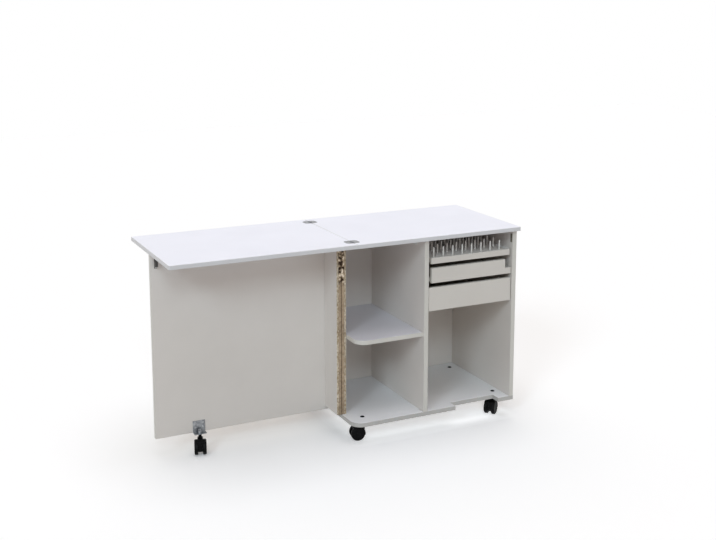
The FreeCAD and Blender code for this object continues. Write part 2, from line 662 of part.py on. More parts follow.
def make_carcass():
    """Sides, divider, back, bottom board, shelf and what screws them together."""
    left_pins, right_pins = shelf_pin_places()
    z = "deck_top"
    height = "upright_height"
    left = panel("carcass_left", "side_front", z, "upright_thickness", "carcass_back - side_front", height)
    named("left_side_panel", cut(
        left, *pin_holes(left_pins), *angle_holes_of("left_inner"),
        *holes("wood_screw", CABINET_PIANO_SCREWS), *holes("carcass_screw", carcass_places("left"))))
    right = panel("right_inner", "carcass_front", z, "upright_thickness", "carcass_back - carcass_front",
                  height)
    named("right_side_panel", cut(
        right, *angle_holes_of("right_inner"), *holes("wood_screw", strike_place()),
        *holes("carcass_screw", carcass_places("right"))))
    divider = panel("divider_left", "carcass_front + divider_setback", z, "upright_thickness",
                    "back_face - carcass_front - divider_setback", height)
    named("divider_panel", cut(
        divider, *pin_holes(right_pins), *angle_holes_of("divider_left"),
        *holes("carcass_screw", carcass_places("divider"))))
    named("back_panel", panel("left_inner", "back_face", z, "right_inner - left_inner", "back_thickness",
                              height))
    bottom = panel("carcass_left", "carcass_front", "caster_height", "carcass_right - carcass_left",
                   "carcass_back - carcass_front", "deck_thickness", ("left front",), "deck_corner")
    notch = box("parked_x - notch_left_margin", "carcass_front - notch_depth",
                "caster_height - deck_thickness", "notch_left_margin + notch_right_margin", "2 * notch_depth",
                "3 * deck_thickness")
    upright_holes = [hole for name in UPRIGHT_LINES for hole in holes("carcass_screw", carcass_places(name))]
    cap_holes = [cap_stalk(x, y, "screw_clearance") for x, y, turn in CABINET_CASTERS]
    named("bottom_board", cut(
        bottom, notch, *upright_holes, *holes("wood_screw", PLATE_SCREWS, sunk=False), *cap_holes))
    named("shelf", panel(
        "left_inner + shelf_side_gap", "carcass_front + shelf_setback", "shelf_level",
        "left_bay - shelf_side_gap", "back_face - carcass_front - shelf_setback", "deck_thickness",
        ("left front",), "deck_corner"))
    named("shelf_pins", group(*[
        cylinder(x, y, level, "shelf_pin_radius", "shelf_pin_length", turn)
        for x, y, level, turn in left_pins + right_pins
    ]))
    named("carcass_screws", group(*[
        screw("carcass_screw", x, y, level, turn)
        for name in UPRIGHT_LINES for x, y, level, turn in carcass_places(name)
    ]))
    named("caster_bolt_caps", group(*[cap(x, y) for x, y, turn in CABINET_CASTERS]))


def cap_stalk(x, y, grow="0"):
    """The stalk of a cap, down through the bottom board."""
    return cylinder(x, y, "caster_height", f"stem_radius + ({grow})", "deck_thickness")


def cap(x, y):
    """A round cap over the hole above a caster."""
    dome = cone(x, y, "deck_top", "cap_radius", "cap_top_radius", "cap_thickness")
    return fuse(dome, cap_stalk(x, y))


def make_angles():
    """Angles that hold the top to the uprights."""
    solids = []
    places = []
    for face, way, y in ANGLES:
        outer_x = face if way > 0 else f"{face} - angle_leg"
        inner_x = f"{face} + angle_thickness" if way > 0 else f"{face} - angle_leg - angle_thickness"
        outer = box(outer_x, y, "underside - angle_leg", "angle_leg", "angle_length", "angle_leg")
        inner = box(inner_x, f"{y} - angle_thickness", "underside - angle_leg - angle_thickness",
                    "angle_leg", "angle_length + 2 * angle_thickness", "angle_leg")
        own = angle_screw_places(face, way, y)
        places += own
        solids.append(cut(outer, inner, *holes("wood_screw", own, sunk=False)))
    named("top_brackets", group(*solids))
    named("top_bracket_screws", screws("wood_screw", places, sunk=False))


def make_strike():
    """Strike plate on the inside of the right side panel."""
    level = "catch_z + (catch_height - strike_height) / 2"
    plate = box("right_inner - strike_thickness", "closed_inner + front_setback", level, "strike_thickness",
                "strike_depth", "strike_height")
    drilled = cut(plate, *holes("wood_screw", strike_place()))
    named("strike_plate", group(drilled, screws("wood_screw", strike_place())))


# ---------------------------------------------------------------------------------------------
# Piano hinge and door
# ---------------------------------------------------------------------------------------------
def piano_knuckles(first, radius, full=False):
    """Every second knuckle from the first one; full ones leave no gap between them."""
    gap = "0" if full else "knuckle_end_gap"
    return [
        cylinder("hinge_x", "hinge_y", f"strip_bottom + {index} * knuckle_pitch + ({gap}) / 2", radius,
                 f"knuckle_pitch - ({gap})")
        for index in range(first, PIANO_KNUCKLES, 2)
    ]


def piano_leaf(way, first, screw_places):
    """One leaf of the piano hinge, reaching right (+1) or left (-1) of the axis."""
    x = "hinge_x" if way > 0 else "hinge_x - piano_leaf_width"
    sheet_metal = box(x, "edge_face", "strip_bottom", "piano_leaf_width", "piano_leaf_thickness",
                      "piano_length")
    solid = fuse(sheet_metal, *piano_knuckles(first, "knuckle_radius"))
    relief = piano_knuckles(1 - first, "knuckle_radius + knuckle_clearance", full=True)
    bore = cylinder("hinge_x", "hinge_y", "caster_height", "piano_pin_radius + pin_fit", "top_height")
    return cut(solid, bore, *relief, *holes("wood_screw", screw_places))


def make_piano_hinge():
    """Piano hinge between the left side panel and the return strip."""
    named("piano_hinge_cabinet_leaf", piano_leaf(1, 0, CABINET_PIANO_SCREWS))
    named("piano_hinge_door_leaf", piano_leaf(-1, 1, DOOR_PIANO_SCREWS))
    pin = cylinder("hinge_x", "hinge_y", "strip_bottom", "piano_pin_radius", "piano_length")
    named("piano_hinge_pin", pin)
    named("piano_hinge_cabinet_screws", screws("wood_screw", CABINET_PIANO_SCREWS))
    named("piano_hinge_door_screws", screws("wood_screw", DOOR_PIANO_SCREWS))


def make_door():
    """Door panel and return strip, folded back, with the catch."""
    door = panel("door_free_end", "open_inner", "door_bottom", "door_hinged_end - door_free_end",
                 "door_thickness", "door_top - door_bottom")
    named("door_panel", cut(
        door, *holes("carcass_screw", STRIP_SCREW_PLACES), *holes("wood_screw", BRACKET_SCREWS, sunk=False),
        *holes("wood_screw", CATCH_SCREWS, sunk=False)))
    strip = panel("door_hinged_end - door_thickness", "side_front", "strip_bottom", "door_thickness",
                  "return_width", "door_top - strip_bottom")
    named("return_strip", cut(
        strip, *holes("carcass_screw", STRIP_SCREW_PLACES), *holes("wood_screw", DOOR_PIANO_SCREWS)))
    named("strip_screws", screws("carcass_screw", STRIP_SCREW_PLACES))
    housing = box("catch_x", "open_inner - catch_depth", "catch_z", "catch_width", "catch_depth",
                  "catch_height")
    ears = box("catch_x", "open_inner - catch_ear_thickness", "catch_z - catch_ear", "catch_width",
               "catch_ear_thickness", "catch_height + 2 * catch_ear")
    named("catch_housing", cut(fuse(housing, ears), *holes("wood_screw", CATCH_SCREWS, sunk=False)))
    named("catch_screws", screws("wood_screw", CATCH_SCREWS, sunk=False))


def make_door_bracket():
    """Bent bracket on the door, with a socket on its foot for the stem of the door caster."""
    left = "door_caster_x - bracket_width / 2"
    near = "open_inner - bracket_depth"
    foot_top = "bracket_level + bracket_thickness"
    nut_level = f"{foot_top} + socket_height"
    upright = box(left, "open_inner - bracket_thickness", "bracket_level", "bracket_width",
                  "bracket_thickness", "bracket_height")
    foot = box(left, near, "bracket_level", "bracket_width", "bracket_depth", "bracket_thickness")
    socket = cylinder("door_caster_x", "door_caster_y", foot_top, "socket_radius", "socket_height")
    stem_hole = cylinder("door_caster_x", "door_caster_y", "bracket_level - bracket_thickness",
                         "stem_radius + screw_clearance", "2 * bracket_thickness + 2 * socket_height")
    named("caster_bracket", cut(
        fuse(upright, foot, socket), stem_hole, *holes("wood_screw", BRACKET_SCREWS, sunk=False)))
    named("bracket_screws", screws("wood_screw", BRACKET_SCREWS, sunk=False))
    stem = cylinder("door_caster_x", "door_caster_y", "stem_low", "stem_radius", "collar_level - stem_low")
    bolt = cylinder("door_caster_x", "door_caster_y", "collar_level", "stem_radius",
                    f"{nut_level} + nut_height - collar_level")
    collar = cylinder("door_caster_x", "door_caster_y", "collar_level", "collar_radius",
                      "door_collar_height")
    nut = doc.addObject("Part::Prism", "Nut")
    nut.Polygon = 6
    bind(nut, "Circumradius", "nut_radius")
    bind(nut, "Height", "nut_height")
    place(nut, "door_caster_x", "door_caster_y", nut_level)
    named("door_caster_stem", group(fuse(bolt, collar, nut), stem))


# ---------------------------------------------------------------------------------------------
# Trays and drawer
# ---------------------------------------------------------------------------------------------
def channel_pair(level):
    """Two channels on the uprights around the rails at one level."""
    outer_height = "rail_height + 2 * rail_play + 2 * channel_wall"
    slot_height = "rail_height + 2 * rail_play"
    start = "side_y + channel_start"
    length = "back_face - channel_end - side_y - channel_start"
    solids = []
    for left, slot in (("divider_right", "divider_right + channel_wall"),
                       ("right_inner - channel_reach", "right_inner - channel_reach - channel_wall")):
        outer = box(left, start, f"{level} - ({outer_height}) / 2", "channel_reach", length, outer_height)
        hollow = box(slot, f"{start} - channel_wall", f"{level} - ({slot_height}) / 2", "channel_reach",
                     f"{length} + 2 * channel_wall", slot_height)
        solids.append(cut(outer, hollow))
    return solids


def rail_pair(level):
    """Two rails on the sides of a drawer."""
    width = "side_gap - channel_wall - rail_side_play"
    length = "drawer_side_length - rail_start - rail_end"
    return [
        box(x, "side_y + rail_start", f"{level} - rail_height / 2", width, length, "rail_height")
        for x in ("divider_right + channel_wall + rail_side_play", "box_right")
    ]


def make_drawer_box(name, level, side_height):
    """Sides, back and bottom behind a front."""
    low = f"{level} + drawer_side_lift"
    wall = "drawer_side_thickness"
    named(f"{name}_sides", group(*[
        panel(x, "side_y", low, wall, "drawer_side_length", side_height)
        for x in ("box_left", f"box_right - {wall}")
    ]))
    named(f"{name}_back", panel(f"box_left + {wall}", f"side_y + drawer_side_length - {wall}", low,
                                "box_inner", wall, side_height))
    named(f"{name}_bottom", panel(f"box_left + {wall}", "side_y", f"{low} + drawer_bottom_lift", "box_inner",
                                  f"drawer_side_length - {wall}", "drawer_bottom_thickness"))


def make_drawers():
    """Shallow tray, drawer and the channels of all three pull-outs."""
    shallow = panel("front_left_x + shallow_front_inset", "front_y", "shallow_front_level",
                    "front_length - shallow_front_inset", "front_thickness", "shallow_front_height")
    grip = box("front_right_x - grip_width", "front_y - front_thickness",
               "shallow_front_level + shallow_front_height - grip_depth", "2 * grip_width",
               "3 * front_thickness", "2 * grip_depth")
    named("shallow_tray_front", cut(shallow, grip))
    make_drawer_box("shallow_tray", "shallow_front_level", "shallow_side_height")
    named("shallow_tray_runners", group(*rail_pair("shallow_rail_level")))
    named("drawer_front", panel("front_left_x", "front_y", "drawer_front_level", "front_length",
                                "front_thickness", "drawer_front_height"))
    make_drawer_box("drawer", "drawer_front_level", "drawer_side_height")
    named("drawer_runners", group(*rail_pair("drawer_rail_level")))
    levels = ("spool_rail_level", "shallow_rail_level", "drawer_rail_level")
    named("cabinet_runners", group(*[channel for level in levels for channel in channel_pair(level)]))


def make_spool_tray():
    """Board with rows of pins for thread spools."""
    named("spool_tray_front", panel(
        "front_left_x + spool_front_inset", "front_y", "spool_front_level",
        "front_length - spool_front_inset - spool_front_right_inset", "front_thickness",
        "spool_front_height"))
    columns = spread(SPOOL_COLUMNS, "box_left + spool_pin_margin", "box_right - spool_pin_margin")
    places = [
        (x, f"side_y + spool_row_start + {row} * spool_row_pitch")
        for row in range(SPOOL_ROWS) for x in columns
    ]
    seat = "spool_board_level + spool_board_thickness - spool_pin_seat"
    board = panel("box_left", "side_y", "spool_board_level", "box_right - box_left", "drawer_side_length",
                  "spool_board_thickness")
    seat_radius = "spool_pin_radius + screw_clearance"
    named("spool_tray_board", cut(board, *[
        cylinder(x, y, seat, seat_radius, "2 * spool_pin_seat") for x, y in places
    ]))
    taper = "spool_pin_top - spool_pin_taper"
    named("spool_pins", group(*[
        fuse(cylinder(x, y, seat, "spool_pin_radius", f"{taper} - ({seat})"),
             cone(x, y, taper, "spool_pin_radius", "spool_pin_tip", "spool_pin_taper"))
        for x, y in places
    ]))
    named("spool_tray_runners", group(*rail_pair("spool_rail_level")))


# ---------------------------------------------------------------------------------------------
# Casters
# ---------------------------------------------------------------------------------------------
def disc(start, radius, width):
    """A disc on the axle line, for a caster that trails to +X; it starts at a distance from the middle."""
    return cylinder("trail", start, "wheel_radius", radius, width, "back")


def caster(name, x, y, turn):
    """Hood and wheels of one caster; both are made pointing to +X, then turned about the stem."""
    dome = disc("-(wheel_outer)", "hood_radius", "2 * (wheel_outer)")
    neck = cylinder("0", "0", "wheel_radius", "hood_neck_radius", "hood_top - wheel_radius")
    rooms = [
        disc(start, "wheel_radius + wheel_clearance", "wheel_width + 2 * web_gap")
        for start in ("wheel_inner - web_gap", "-(wheel_outer) - web_gap")
    ]
    below = box("-hood_radius", "-hood_radius", "-hood_radius", "4 * hood_radius", "2 * hood_radius",
                "wheel_radius - hood_skirt + hood_radius")
    ahead = box("trail + web_radius", "-hood_radius", "0", "hood_radius", "2 * hood_radius",
                "2 * hood_radius")
    web = disc("-(wheel_inner - web_gap)", "web_radius", "2 * (wheel_inner - web_gap)")
    shell = cut(fuse(dome, neck), *rooms, below, ahead)
    axle_hole = disc("-hood_radius", "axle_radius + axle_fit", "2 * hood_radius")
    socket = cylinder("0", "0", "stem_low - stem_end_gap", "stem_radius + stem_fit", "hood_top")
    hood = cut(fuse(shell, web), axle_hole, socket)
    axle_half = "wheel_outer - axle_setback"
    axle = disc(f"-({axle_half})", "axle_radius", f"2 * ({axle_half})")
    wheels = [
        cut(disc(start, "wheel_radius", "wheel_width"), axle) for start in ("wheel_inner", "-(wheel_outer)")
    ]
    for label, piece in ((f"{name}_hood", hood), (f"{name}_wheels", group(*wheels, axle))):
        spin(piece, turn)
        bind(piece, "Placement.Base.x", x)
        bind(piece, "Placement.Base.y", y)
        named(label, piece)


def make_caster_plates():
    """Plates under the bottom board, the stems below them, and the plates' screws."""
    plates = []
    stems = []
    for x, y, turn in CABINET_CASTERS:
        half = "plate_side / 2"
        plate = panel(f"{x} - {half}", f"{y} - {half}", "plate_level", "plate_side", "plate_side",
                      "plate_thickness", ("left front", "left back", "right front", "right back"),
                      "plate_screw_inset / 2")
        stems.append(cylinder(x, y, "stem_low", "stem_radius", "collar_level - stem_low"))
        collar = cylinder(x, y, "collar_level", "collar_radius", "collar_height")
        own = [spot for spot in PLATE_SCREWS if spot[0].startswith(f"{x} ") and spot[1].startswith(f"{y} ")]
        plates.append(cut(fuse(plate, collar), *holes("wood_screw", own)))
    named("caster_plates", group(*plates, *stems))
    named("caster_screws", screws("wood_screw", PLATE_SCREWS))


# ---------------------------------------------------------------------------------------------
# The whole model
# ---------------------------------------------------------------------------------------------
def main():
    """Build every sub-part, check them and write their files."""
    make_tops()
    make_carcass()
    make_angles()
    make_strike()
    make_piano_hinge()
    make_door()
    make_door_bracket()
    make_drawers()
    make_spool_tray()
    make_caster_plates()
    for name, (x, y, turn) in CASTERS.items():
        caster(name, x, y, turn)
    doc.recompute()
    failed = [item.Label for item in doc.Objects if {"Invalid", "Error"} & set(item.State)]
    assert not failed, f"failed: {failed}"
    os.makedirs("parts", exist_ok=True)
    for label, piece in PARTS.items():
        shape = piece.Shape
        assert not shape.isNull() and shape.isValid(), f"bad shape: {label}"
        assert len(shape.Solids) > 0, f"no solid: {label}"
        shape.exportStep(f"parts/{label}.step")
    print(len(PARTS), "sub-parts")


main()
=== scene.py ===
"""Looks of the folding sewing cutting table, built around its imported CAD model.

The boards get melamine faces, edge tape and raw chipboard where they are cut; the hinges, screws, pins,
casters and fittings get their mouldings and finishes. Sizes are in millimetres unless a name says otherwise.
"""

from __future__ import annotations

import json
import logging
import math
from collections.abc import Callable, Sequence
from dataclasses import dataclass, replace
from enum import Enum

import bmesh
import bpy
from mathutils import Matrix, Vector

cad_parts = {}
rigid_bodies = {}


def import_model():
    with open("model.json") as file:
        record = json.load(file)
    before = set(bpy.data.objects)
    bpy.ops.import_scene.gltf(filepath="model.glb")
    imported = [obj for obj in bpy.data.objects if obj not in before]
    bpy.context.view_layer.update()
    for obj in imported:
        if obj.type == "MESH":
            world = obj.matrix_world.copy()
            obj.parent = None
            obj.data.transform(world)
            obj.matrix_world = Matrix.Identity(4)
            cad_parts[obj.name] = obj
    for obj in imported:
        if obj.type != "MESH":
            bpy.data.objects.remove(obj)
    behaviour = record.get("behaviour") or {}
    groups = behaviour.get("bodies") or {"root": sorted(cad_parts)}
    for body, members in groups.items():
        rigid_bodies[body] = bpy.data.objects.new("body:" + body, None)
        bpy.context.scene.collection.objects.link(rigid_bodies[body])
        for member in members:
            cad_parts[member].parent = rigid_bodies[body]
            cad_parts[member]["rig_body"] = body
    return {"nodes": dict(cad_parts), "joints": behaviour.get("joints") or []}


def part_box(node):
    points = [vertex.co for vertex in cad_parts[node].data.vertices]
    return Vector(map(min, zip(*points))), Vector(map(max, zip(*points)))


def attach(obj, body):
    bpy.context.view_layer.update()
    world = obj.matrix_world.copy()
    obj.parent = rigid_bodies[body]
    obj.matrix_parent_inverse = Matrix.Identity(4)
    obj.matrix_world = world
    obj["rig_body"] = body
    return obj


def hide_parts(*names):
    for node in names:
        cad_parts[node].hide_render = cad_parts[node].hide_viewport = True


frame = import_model()

log = logging.getLogger("sewing_table")

MM = 0.001
WELD = 0.004  # corners nearer to each other than this are one
FLAT = math.radians(0.8)  # faces that meet at less than this are one
WHITE = "#FFFFFF"
Point = tuple[float, float]
Inputs = dict[str | int, object]
Tree = bpy.types.NodeTree
Node = bpy.types.Node
Source = bpy.types.Node | bpy.types.NodeSocket
Piece = bpy.types.Object


# ---- Colours and shader nodes ----
def linear(colour: str) -> tuple[float, float, float, float]:
    """Turns an sRGB hex colour into linear light.

    Args:
        colour: Six hex digits with a leading hash.

    Returns:
        Red, green, blue and an alpha of one.
    """
    values = [int(colour[start : start + 2], 16) / 255 for start in (1, 3, 5)]
    red, green, blue = (v / 12.92 if v <= 0.04045 else ((v + 0.055) / 1.055) ** 2.4 for v in values)
    return red, green, blue, 1.0


def repeats(size: float) -> float:
    """Texture scale for features of a size in millimetres, because textures count per metre."""
    return 1.0 / (size * MM)


def between(value: Source, start: Point, end: Point = (0.0, 1.0)) -> Inputs:
    """What a map-range node needs to turn one range of a value into another."""
    return {"Value": value, "From Min": start[0], "From Max": start[1], "To Min": end[0], "To Max": end[1]}


def add(
    tree: Tree,
    kind: str,
    inputs: Inputs | None = None,
    stops: Sequence[tuple[float, str]] = (),
    **settings: object,
) -> Node:
    """Adds a shader node with its settings and links.

    Args:
        tree: Node tree that gets the node.
        kind: Blender's type name of the node, without its leading ShaderNode.
        inputs: Value, output socket or node for each input; a node stands for its first output.
        stops: Positions and hex colours, for a colour ramp.
        settings: Properties of the node itself.

    Returns:
        The new node.
    """
    node = tree.nodes.new(f"ShaderNode{kind}")
    for name, value in settings.items():
        setattr(node, name, value)
    if stops:
        elements = node.color_ramp.elements
        while len(elements) < len(stops):
            elements.new(1.0)
        for element, (position, colour) in zip(elements, stops):
            element.position = position
            element.color = linear(colour)
    for name, value in (inputs or {}).items():
        source = value.outputs[0] if isinstance(value, Node) else value
        if isinstance(source, bpy.types.NodeSocket):
            tree.links.new(source, node.inputs[name])
        else:
            node.inputs[name].default_value = source
    return node


def empty_tree(owner: bpy.types.Material | bpy.types.World) -> Tree:
    """Turns on the nodes of a material or a world and clears them.

    Args:
        owner: The material or the world.

    Returns:
        Its empty node tree.
    """
    owner.use_nodes = True
    owner.node_tree.nodes.clear()
    return owner.node_tree


def into_scene(name: str, data: bpy.types.ID) -> Piece:
    """Puts a mesh, a lamp or a camera into the scene.

    Args:
        name: Name of the new object.
        data: What it holds.

    Returns:
        The new object.
    """
    thing = bpy.data.objects.new(name, data)
    bpy.context.scene.collection.objects.link(thing)
    return thing


# ---- Finishes ----
@dataclass(frozen=True)
class Spots:
    """Soft irregular spots: their size, how many layers of finer spots they have and how strong these are."""

    size: float
    layers: float = 2.0
    strength: float = 0.5

    def inputs(self, place: Source) -> Inputs:
        """What a noise texture needs to draw the spots at a place."""
        scale = repeats(self.size)
        return {"Vector": place, "Scale": scale, "Detail": self.layers, "Roughness": self.strength}


@dataclass(frozen=True)
class Finish:
    """What all finishes share: a name, two close tones, how the surface takes light and its raised grain.

    The tones lie in clouds: below the first of tone_ends on the clouds' scale is the shade, above the second
    the colour. Other ends mark the same on their own scales. Grain depths are in millimetres.
    """

    name: str
    colour: str
    shade: str
    roughness: float
    metallic: float = 0.0
    ior: float = 1.5
    clouds: Spots = Spots(90.0)
    tone_ends: Point = (0.3, 0.7)
    grain: Spots = Spots(1.0)
    grain_share: float = 0.4
    grain_depth: float = 0.03

    def material(self) -> bpy.types.Material:
        """Makes the material at its first use.

        Returns:
            The material, the same one each time.
        """
        known = bpy.data.materials.get(self.name)
        if known:
            return known
        material = bpy.data.materials.new(self.name)
        tree = empty_tree(material)
        inputs: Inputs = {
            "Base Color": linear(self.colour),
            "Roughness": self.roughness,
            "Metallic": self.metallic,
        }
        if not self.metallic:
            inputs["IOR"] = self.ior
        place = add(tree, "TexCoord").outputs["Object"]
        shader = add(tree, "BsdfPrincipled", inputs | self.pattern(tree, place))
        add(tree, "OutputMaterial", {"Surface": shader})
        return material

    def tones(self) -> tuple[tuple[float, str], ...]:
        """Stops of a colour ramp from the shade to the colour."""
        return tuple(zip(self.tone_ends, (self.shade, self.colour)))

    def raised(self, tree: Tree, place: Source) -> Node:
        """Raises the grain from the surface.

        Args:
            tree: Node tree of the material.
            place: Coordinates that the grain follows, in metres.

        Returns:
            Node that gives the bent normal.
        """
        grain = add(tree, "TexNoise", self.grain.inputs(place))
        depth = self.grain_depth * MM
        return add(tree, "Bump", {"Height": grain, "Strength": self.grain_share, "Distance": depth})

    def pattern(self, tree: Tree, place: Source) -> Inputs:
        """What varies over the surface: a cloudy tone and the grain.

        Args:
            tree: Node tree of the material.
            place: Coordinates in the table's frame, in metres.

        Returns:
            Nodes by the name of the shader's input.
        """
        cloud = add(tree, "TexNoise", self.clouds.inputs(place))
        tone = add(tree, "ValToRGB", {"Fac": cloud}, self.tones())
        return {"Base Color": tone, "Normal": self.raised(tree, place)}


@dataclass(frozen=True)
class SatinMelamine(Finish):
    """Melamine-faced chipboard, pressed against an etched plate: an even satin with a fine pearl grain.

    The eye gets a soft sheen that breaks up at a shallow angle, and very slight clouds in the tone.
    """

    clouds: Spots = Spots(170.0, 4.0, 0.55)
    grain: Spots = Spots(0.9)  # real pearls are about 0.3 mm, drawn coarser so that they show
    grain_share: float = 0.5
    grain_depth: float = 0.018
    wipes: Spots = Spots(42.0, 6.0, 0.7)
    wipe_ends: Point = (0.3, 0.7)
    glossier: float = 0.04
    duller: float = 0.05

    def pattern(self, tree: Tree, place: Source) -> Inputs:
        """Cloudy tone, uneven sheen and pearl grain.

        Args:
            tree: Node tree of the material.
            place: Coordinates in the table's frame, in metres.

        Returns:
            Nodes by the name of the shader's input.
        """
        wipe = add(tree, "TexNoise", self.wipes.inputs(place))
        span = (self.roughness - self.glossier, self.roughness + self.duller)
        sheen = add(tree, "MapRange", between(wipe, self.wipe_ends, span))
        return super().pattern(tree, place) | {"Roughness": sheen}


@dataclass(frozen=True)
class EdgeTape(Finish):
    """ABS edge tape, extruded and trimmed: smooth and slightly glossier than the faces.

    Faint scraper marks run across its width, and its tone drifts a little along the edge.
    """

    clouds: Spots = Spots(90.0, 3.0)
    grain: Spots = Spots(1.6, 3.0, 0.6)  # real marks are about 0.5 mm apart, drawn coarser so that they show
    grain_depth: float = 0.02


@dataclass(frozen=True)
class SawnChipboard(Finish):
    """The sawn core of chipboard: pressed wood chips with dark glue and pores between them.

    The chips lie flat in the board, so on an edge they show as slivers along its length.
    """

    light: str = "#E4D9C7"
    dark: str = "#9B8970"
    wood_ends: tuple[float, ...] = (0.0, 0.28, 0.62, 1.0)
    glue: str = "#998A75"
    glue_share: float = 0.6
    glue_width: float = 0.12
    chip: float = 2.2
    stretch: float = 4.0
    wander: Spots = Spots(5.0)
    wander_reach: float = 1.6
    pore_share: float = 0.8
    pore_depth: float = 0.25

    def pattern(self, tree: Tree, place: Source) -> Inputs:
        """Chips, flecks and pores.

        Args:
            tree: Node tree of the material.
            place: Coordinates in the table's frame, in metres.

        Returns:
            Nodes by the name of the shader's input.
        """
        along = add(tree, "Mapping", {"Vector": place, "Scale": (1.0, 1.0, 1.0 / self.stretch)})
        wander = add(tree, "TexNoise", self.wander.inputs(along)).outputs["Color"]
        shift = add(tree, "VectorMath", {0: wander, "Scale": self.wander_reach * MM}, operation="SCALE")
        bent = add(tree, "VectorMath", {0: along, 1: shift}, operation="ADD")
        cells: Inputs = {"Vector": bent, "Scale": repeats(self.chip)}
        chips = add(tree, "TexVoronoi", cells).outputs["Color"]
        seams = add(tree, "TexVoronoi", cells, feature="DISTANCE_TO_EDGE").outputs["Distance"]
        woods = tuple(zip(self.wood_ends, (self.dark, self.shade, self.colour, self.light)))
        wood = add(tree, "ValToRGB", {"Fac": add(tree, "SeparateColor", {"Color": chips})}, woods)
        glue = add(tree, "ValToRGB", {"Fac": seams}, ((0.0, self.glue), (self.glue_width, WHITE)))
        tones: Inputs = {"Fac": self.glue_share, "Color1": wood, "Color2": glue}
        pores: Inputs = {"Height": seams, "Strength": self.pore_share, "Distance": self.pore_depth * MM}
        stained = add(tree, "MixRGB", tones, blend_type="MULTIPLY")
        return {"Base Color": stained, "Normal": add(tree, "Bump", pores)}


@dataclass(frozen=True)
class PlatedSteel(Finish):
    """Pressed or rolled steel with a plated or bronzed skin: a dull metal with stained places.

    The plating is cloudy in patches of some millimetres, and hands leave fine scratches. From a height
    upwards it gets painted shade of the top above it as dark spots, and painted reflections as light spots.
    """

    metallic: float = 1.0
    tone_ends: Point = (0.1, 0.9)
    clouds: Spots = Spots(9.0, 8.0, 0.7)
    grain: Spots = Spots(0.7, 3.0)  # real scratches are about 0.1 mm wide, drawn coarser so that they show
    grain_share: float = 0.35
    scratch_stretch: Sequence[float] = (1.0, 1.0, 0.08)
    scratch_turn: Sequence[float] = (0.3, 0.2, 0.0)
    patch: float = 6.0
    tarnish: str = "#4A4A48"
    tarnish_ends: Point = (0.5, 0.75)
    tarnish_share: float = 0.25
    sheen_ends: Point = (0.3, 0.75)
    glossier: float = 0.07
    duller: float = 0.12
    # From a height up, fading in: dark spots of painted shade under the top, and light spots of painted
    # reflections.
    painted_from: float | None = None
    painted_fade: float = 30.0
    painted_spots: Spots = Spots(11.0, 2.0, 0.4)
    stain_and_shade: str = "#30241C"
    painted_reflection: str = "#D0C3B1"
    shade_reflection_ends: tuple[float, ...] = (0.42, 0.52, 0.58, 0.65)

    def painted_top(self, tree: Tree, place: Source, skin: Source) -> Node:
        """Adds painted shade as dark spots and painted reflections as light spots to the skin's colour, from
        a height up.

        Args:
            tree: Node tree of the material.
            place: Coordinates in the table's frame, in metres.
            skin: Colour of the plating.

        Returns:
            Node that gives the colour.
        """
        spots = add(tree, "TexNoise", self.painted_spots.inputs(place))
        stops = tuple(zip(self.shade_reflection_ends, (self.stain_and_shade, self.shade, self.shade, self.painted_reflection)))
        painted_marks = add(tree, "ValToRGB", {"Fac": spots}, stops)
        height = add(tree, "SeparateXYZ", {"Vector": place}).outputs["Z"]
        fade = (self.painted_from * MM, (self.painted_from + self.painted_fade) * MM)
        share = add(tree, "MapRange", between(height, fade))
        return add(tree, "MixRGB", {"Fac": share, "Color1": skin, "Color2": painted_marks})

    def pattern(self, tree: Tree, place: Source) -> Inputs:
        """Plating patches, tarnish and fine scratches.

        Args:
            tree: Node tree of the material.
            place: Coordinates in the table's frame, in metres.

        Returns:
            Nodes by the name of the shader's input.
        """
        cells: Inputs = {"Vector": place, "Scale": repeats(self.patch)}
        patches = add(tree, "TexVoronoi", cells, feature="SMOOTH_F1").outputs["Color"]
        crystal = add(tree, "SeparateColor", {"Color": patches})
        plating = add(tree, "ValToRGB", {"Fac": crystal}, self.tones())
        stain_and_shade = add(tree, "TexNoise", self.clouds.inputs(place))
        share = add(tree, "MapRange", between(stain_and_shade, self.tarnish_ends, (0.0, self.tarnish_share)))
        skin = add(tree, "MixRGB", {"Fac": share, "Color1": plating, "Color2": linear(self.tarnish)})
        if self.painted_from:
            skin = self.painted_top(tree, place, skin)
        lines: Inputs = {"Vector": place, "Scale": self.scratch_stretch, "Rotation": self.scratch_turn}
        scratches = self.raised(tree, add(tree, "Mapping", lines))
        span = (self.roughness - self.glossier, self.roughness + self.duller)
        sheen = add(tree, "MapRange", between(stain_and_shade, self.sheen_ends, span))
        return {"Base Color": skin, "Roughness": sheen, "Normal": scratches}


@dataclass(frozen=True)
class SprayedEnamel(Finish):
    """Powder enamel sprayed on steel and baked: glossy, with a soft orange-peel surface and dusty patches."""

    clouds: Spots = Spots(30.0, 5.0, 0.65)
    tone_ends: Point = (0.35, 0.65)
    grain: Spots = Spots(1.8, 1.0)
    grain_depth: float = 0.05


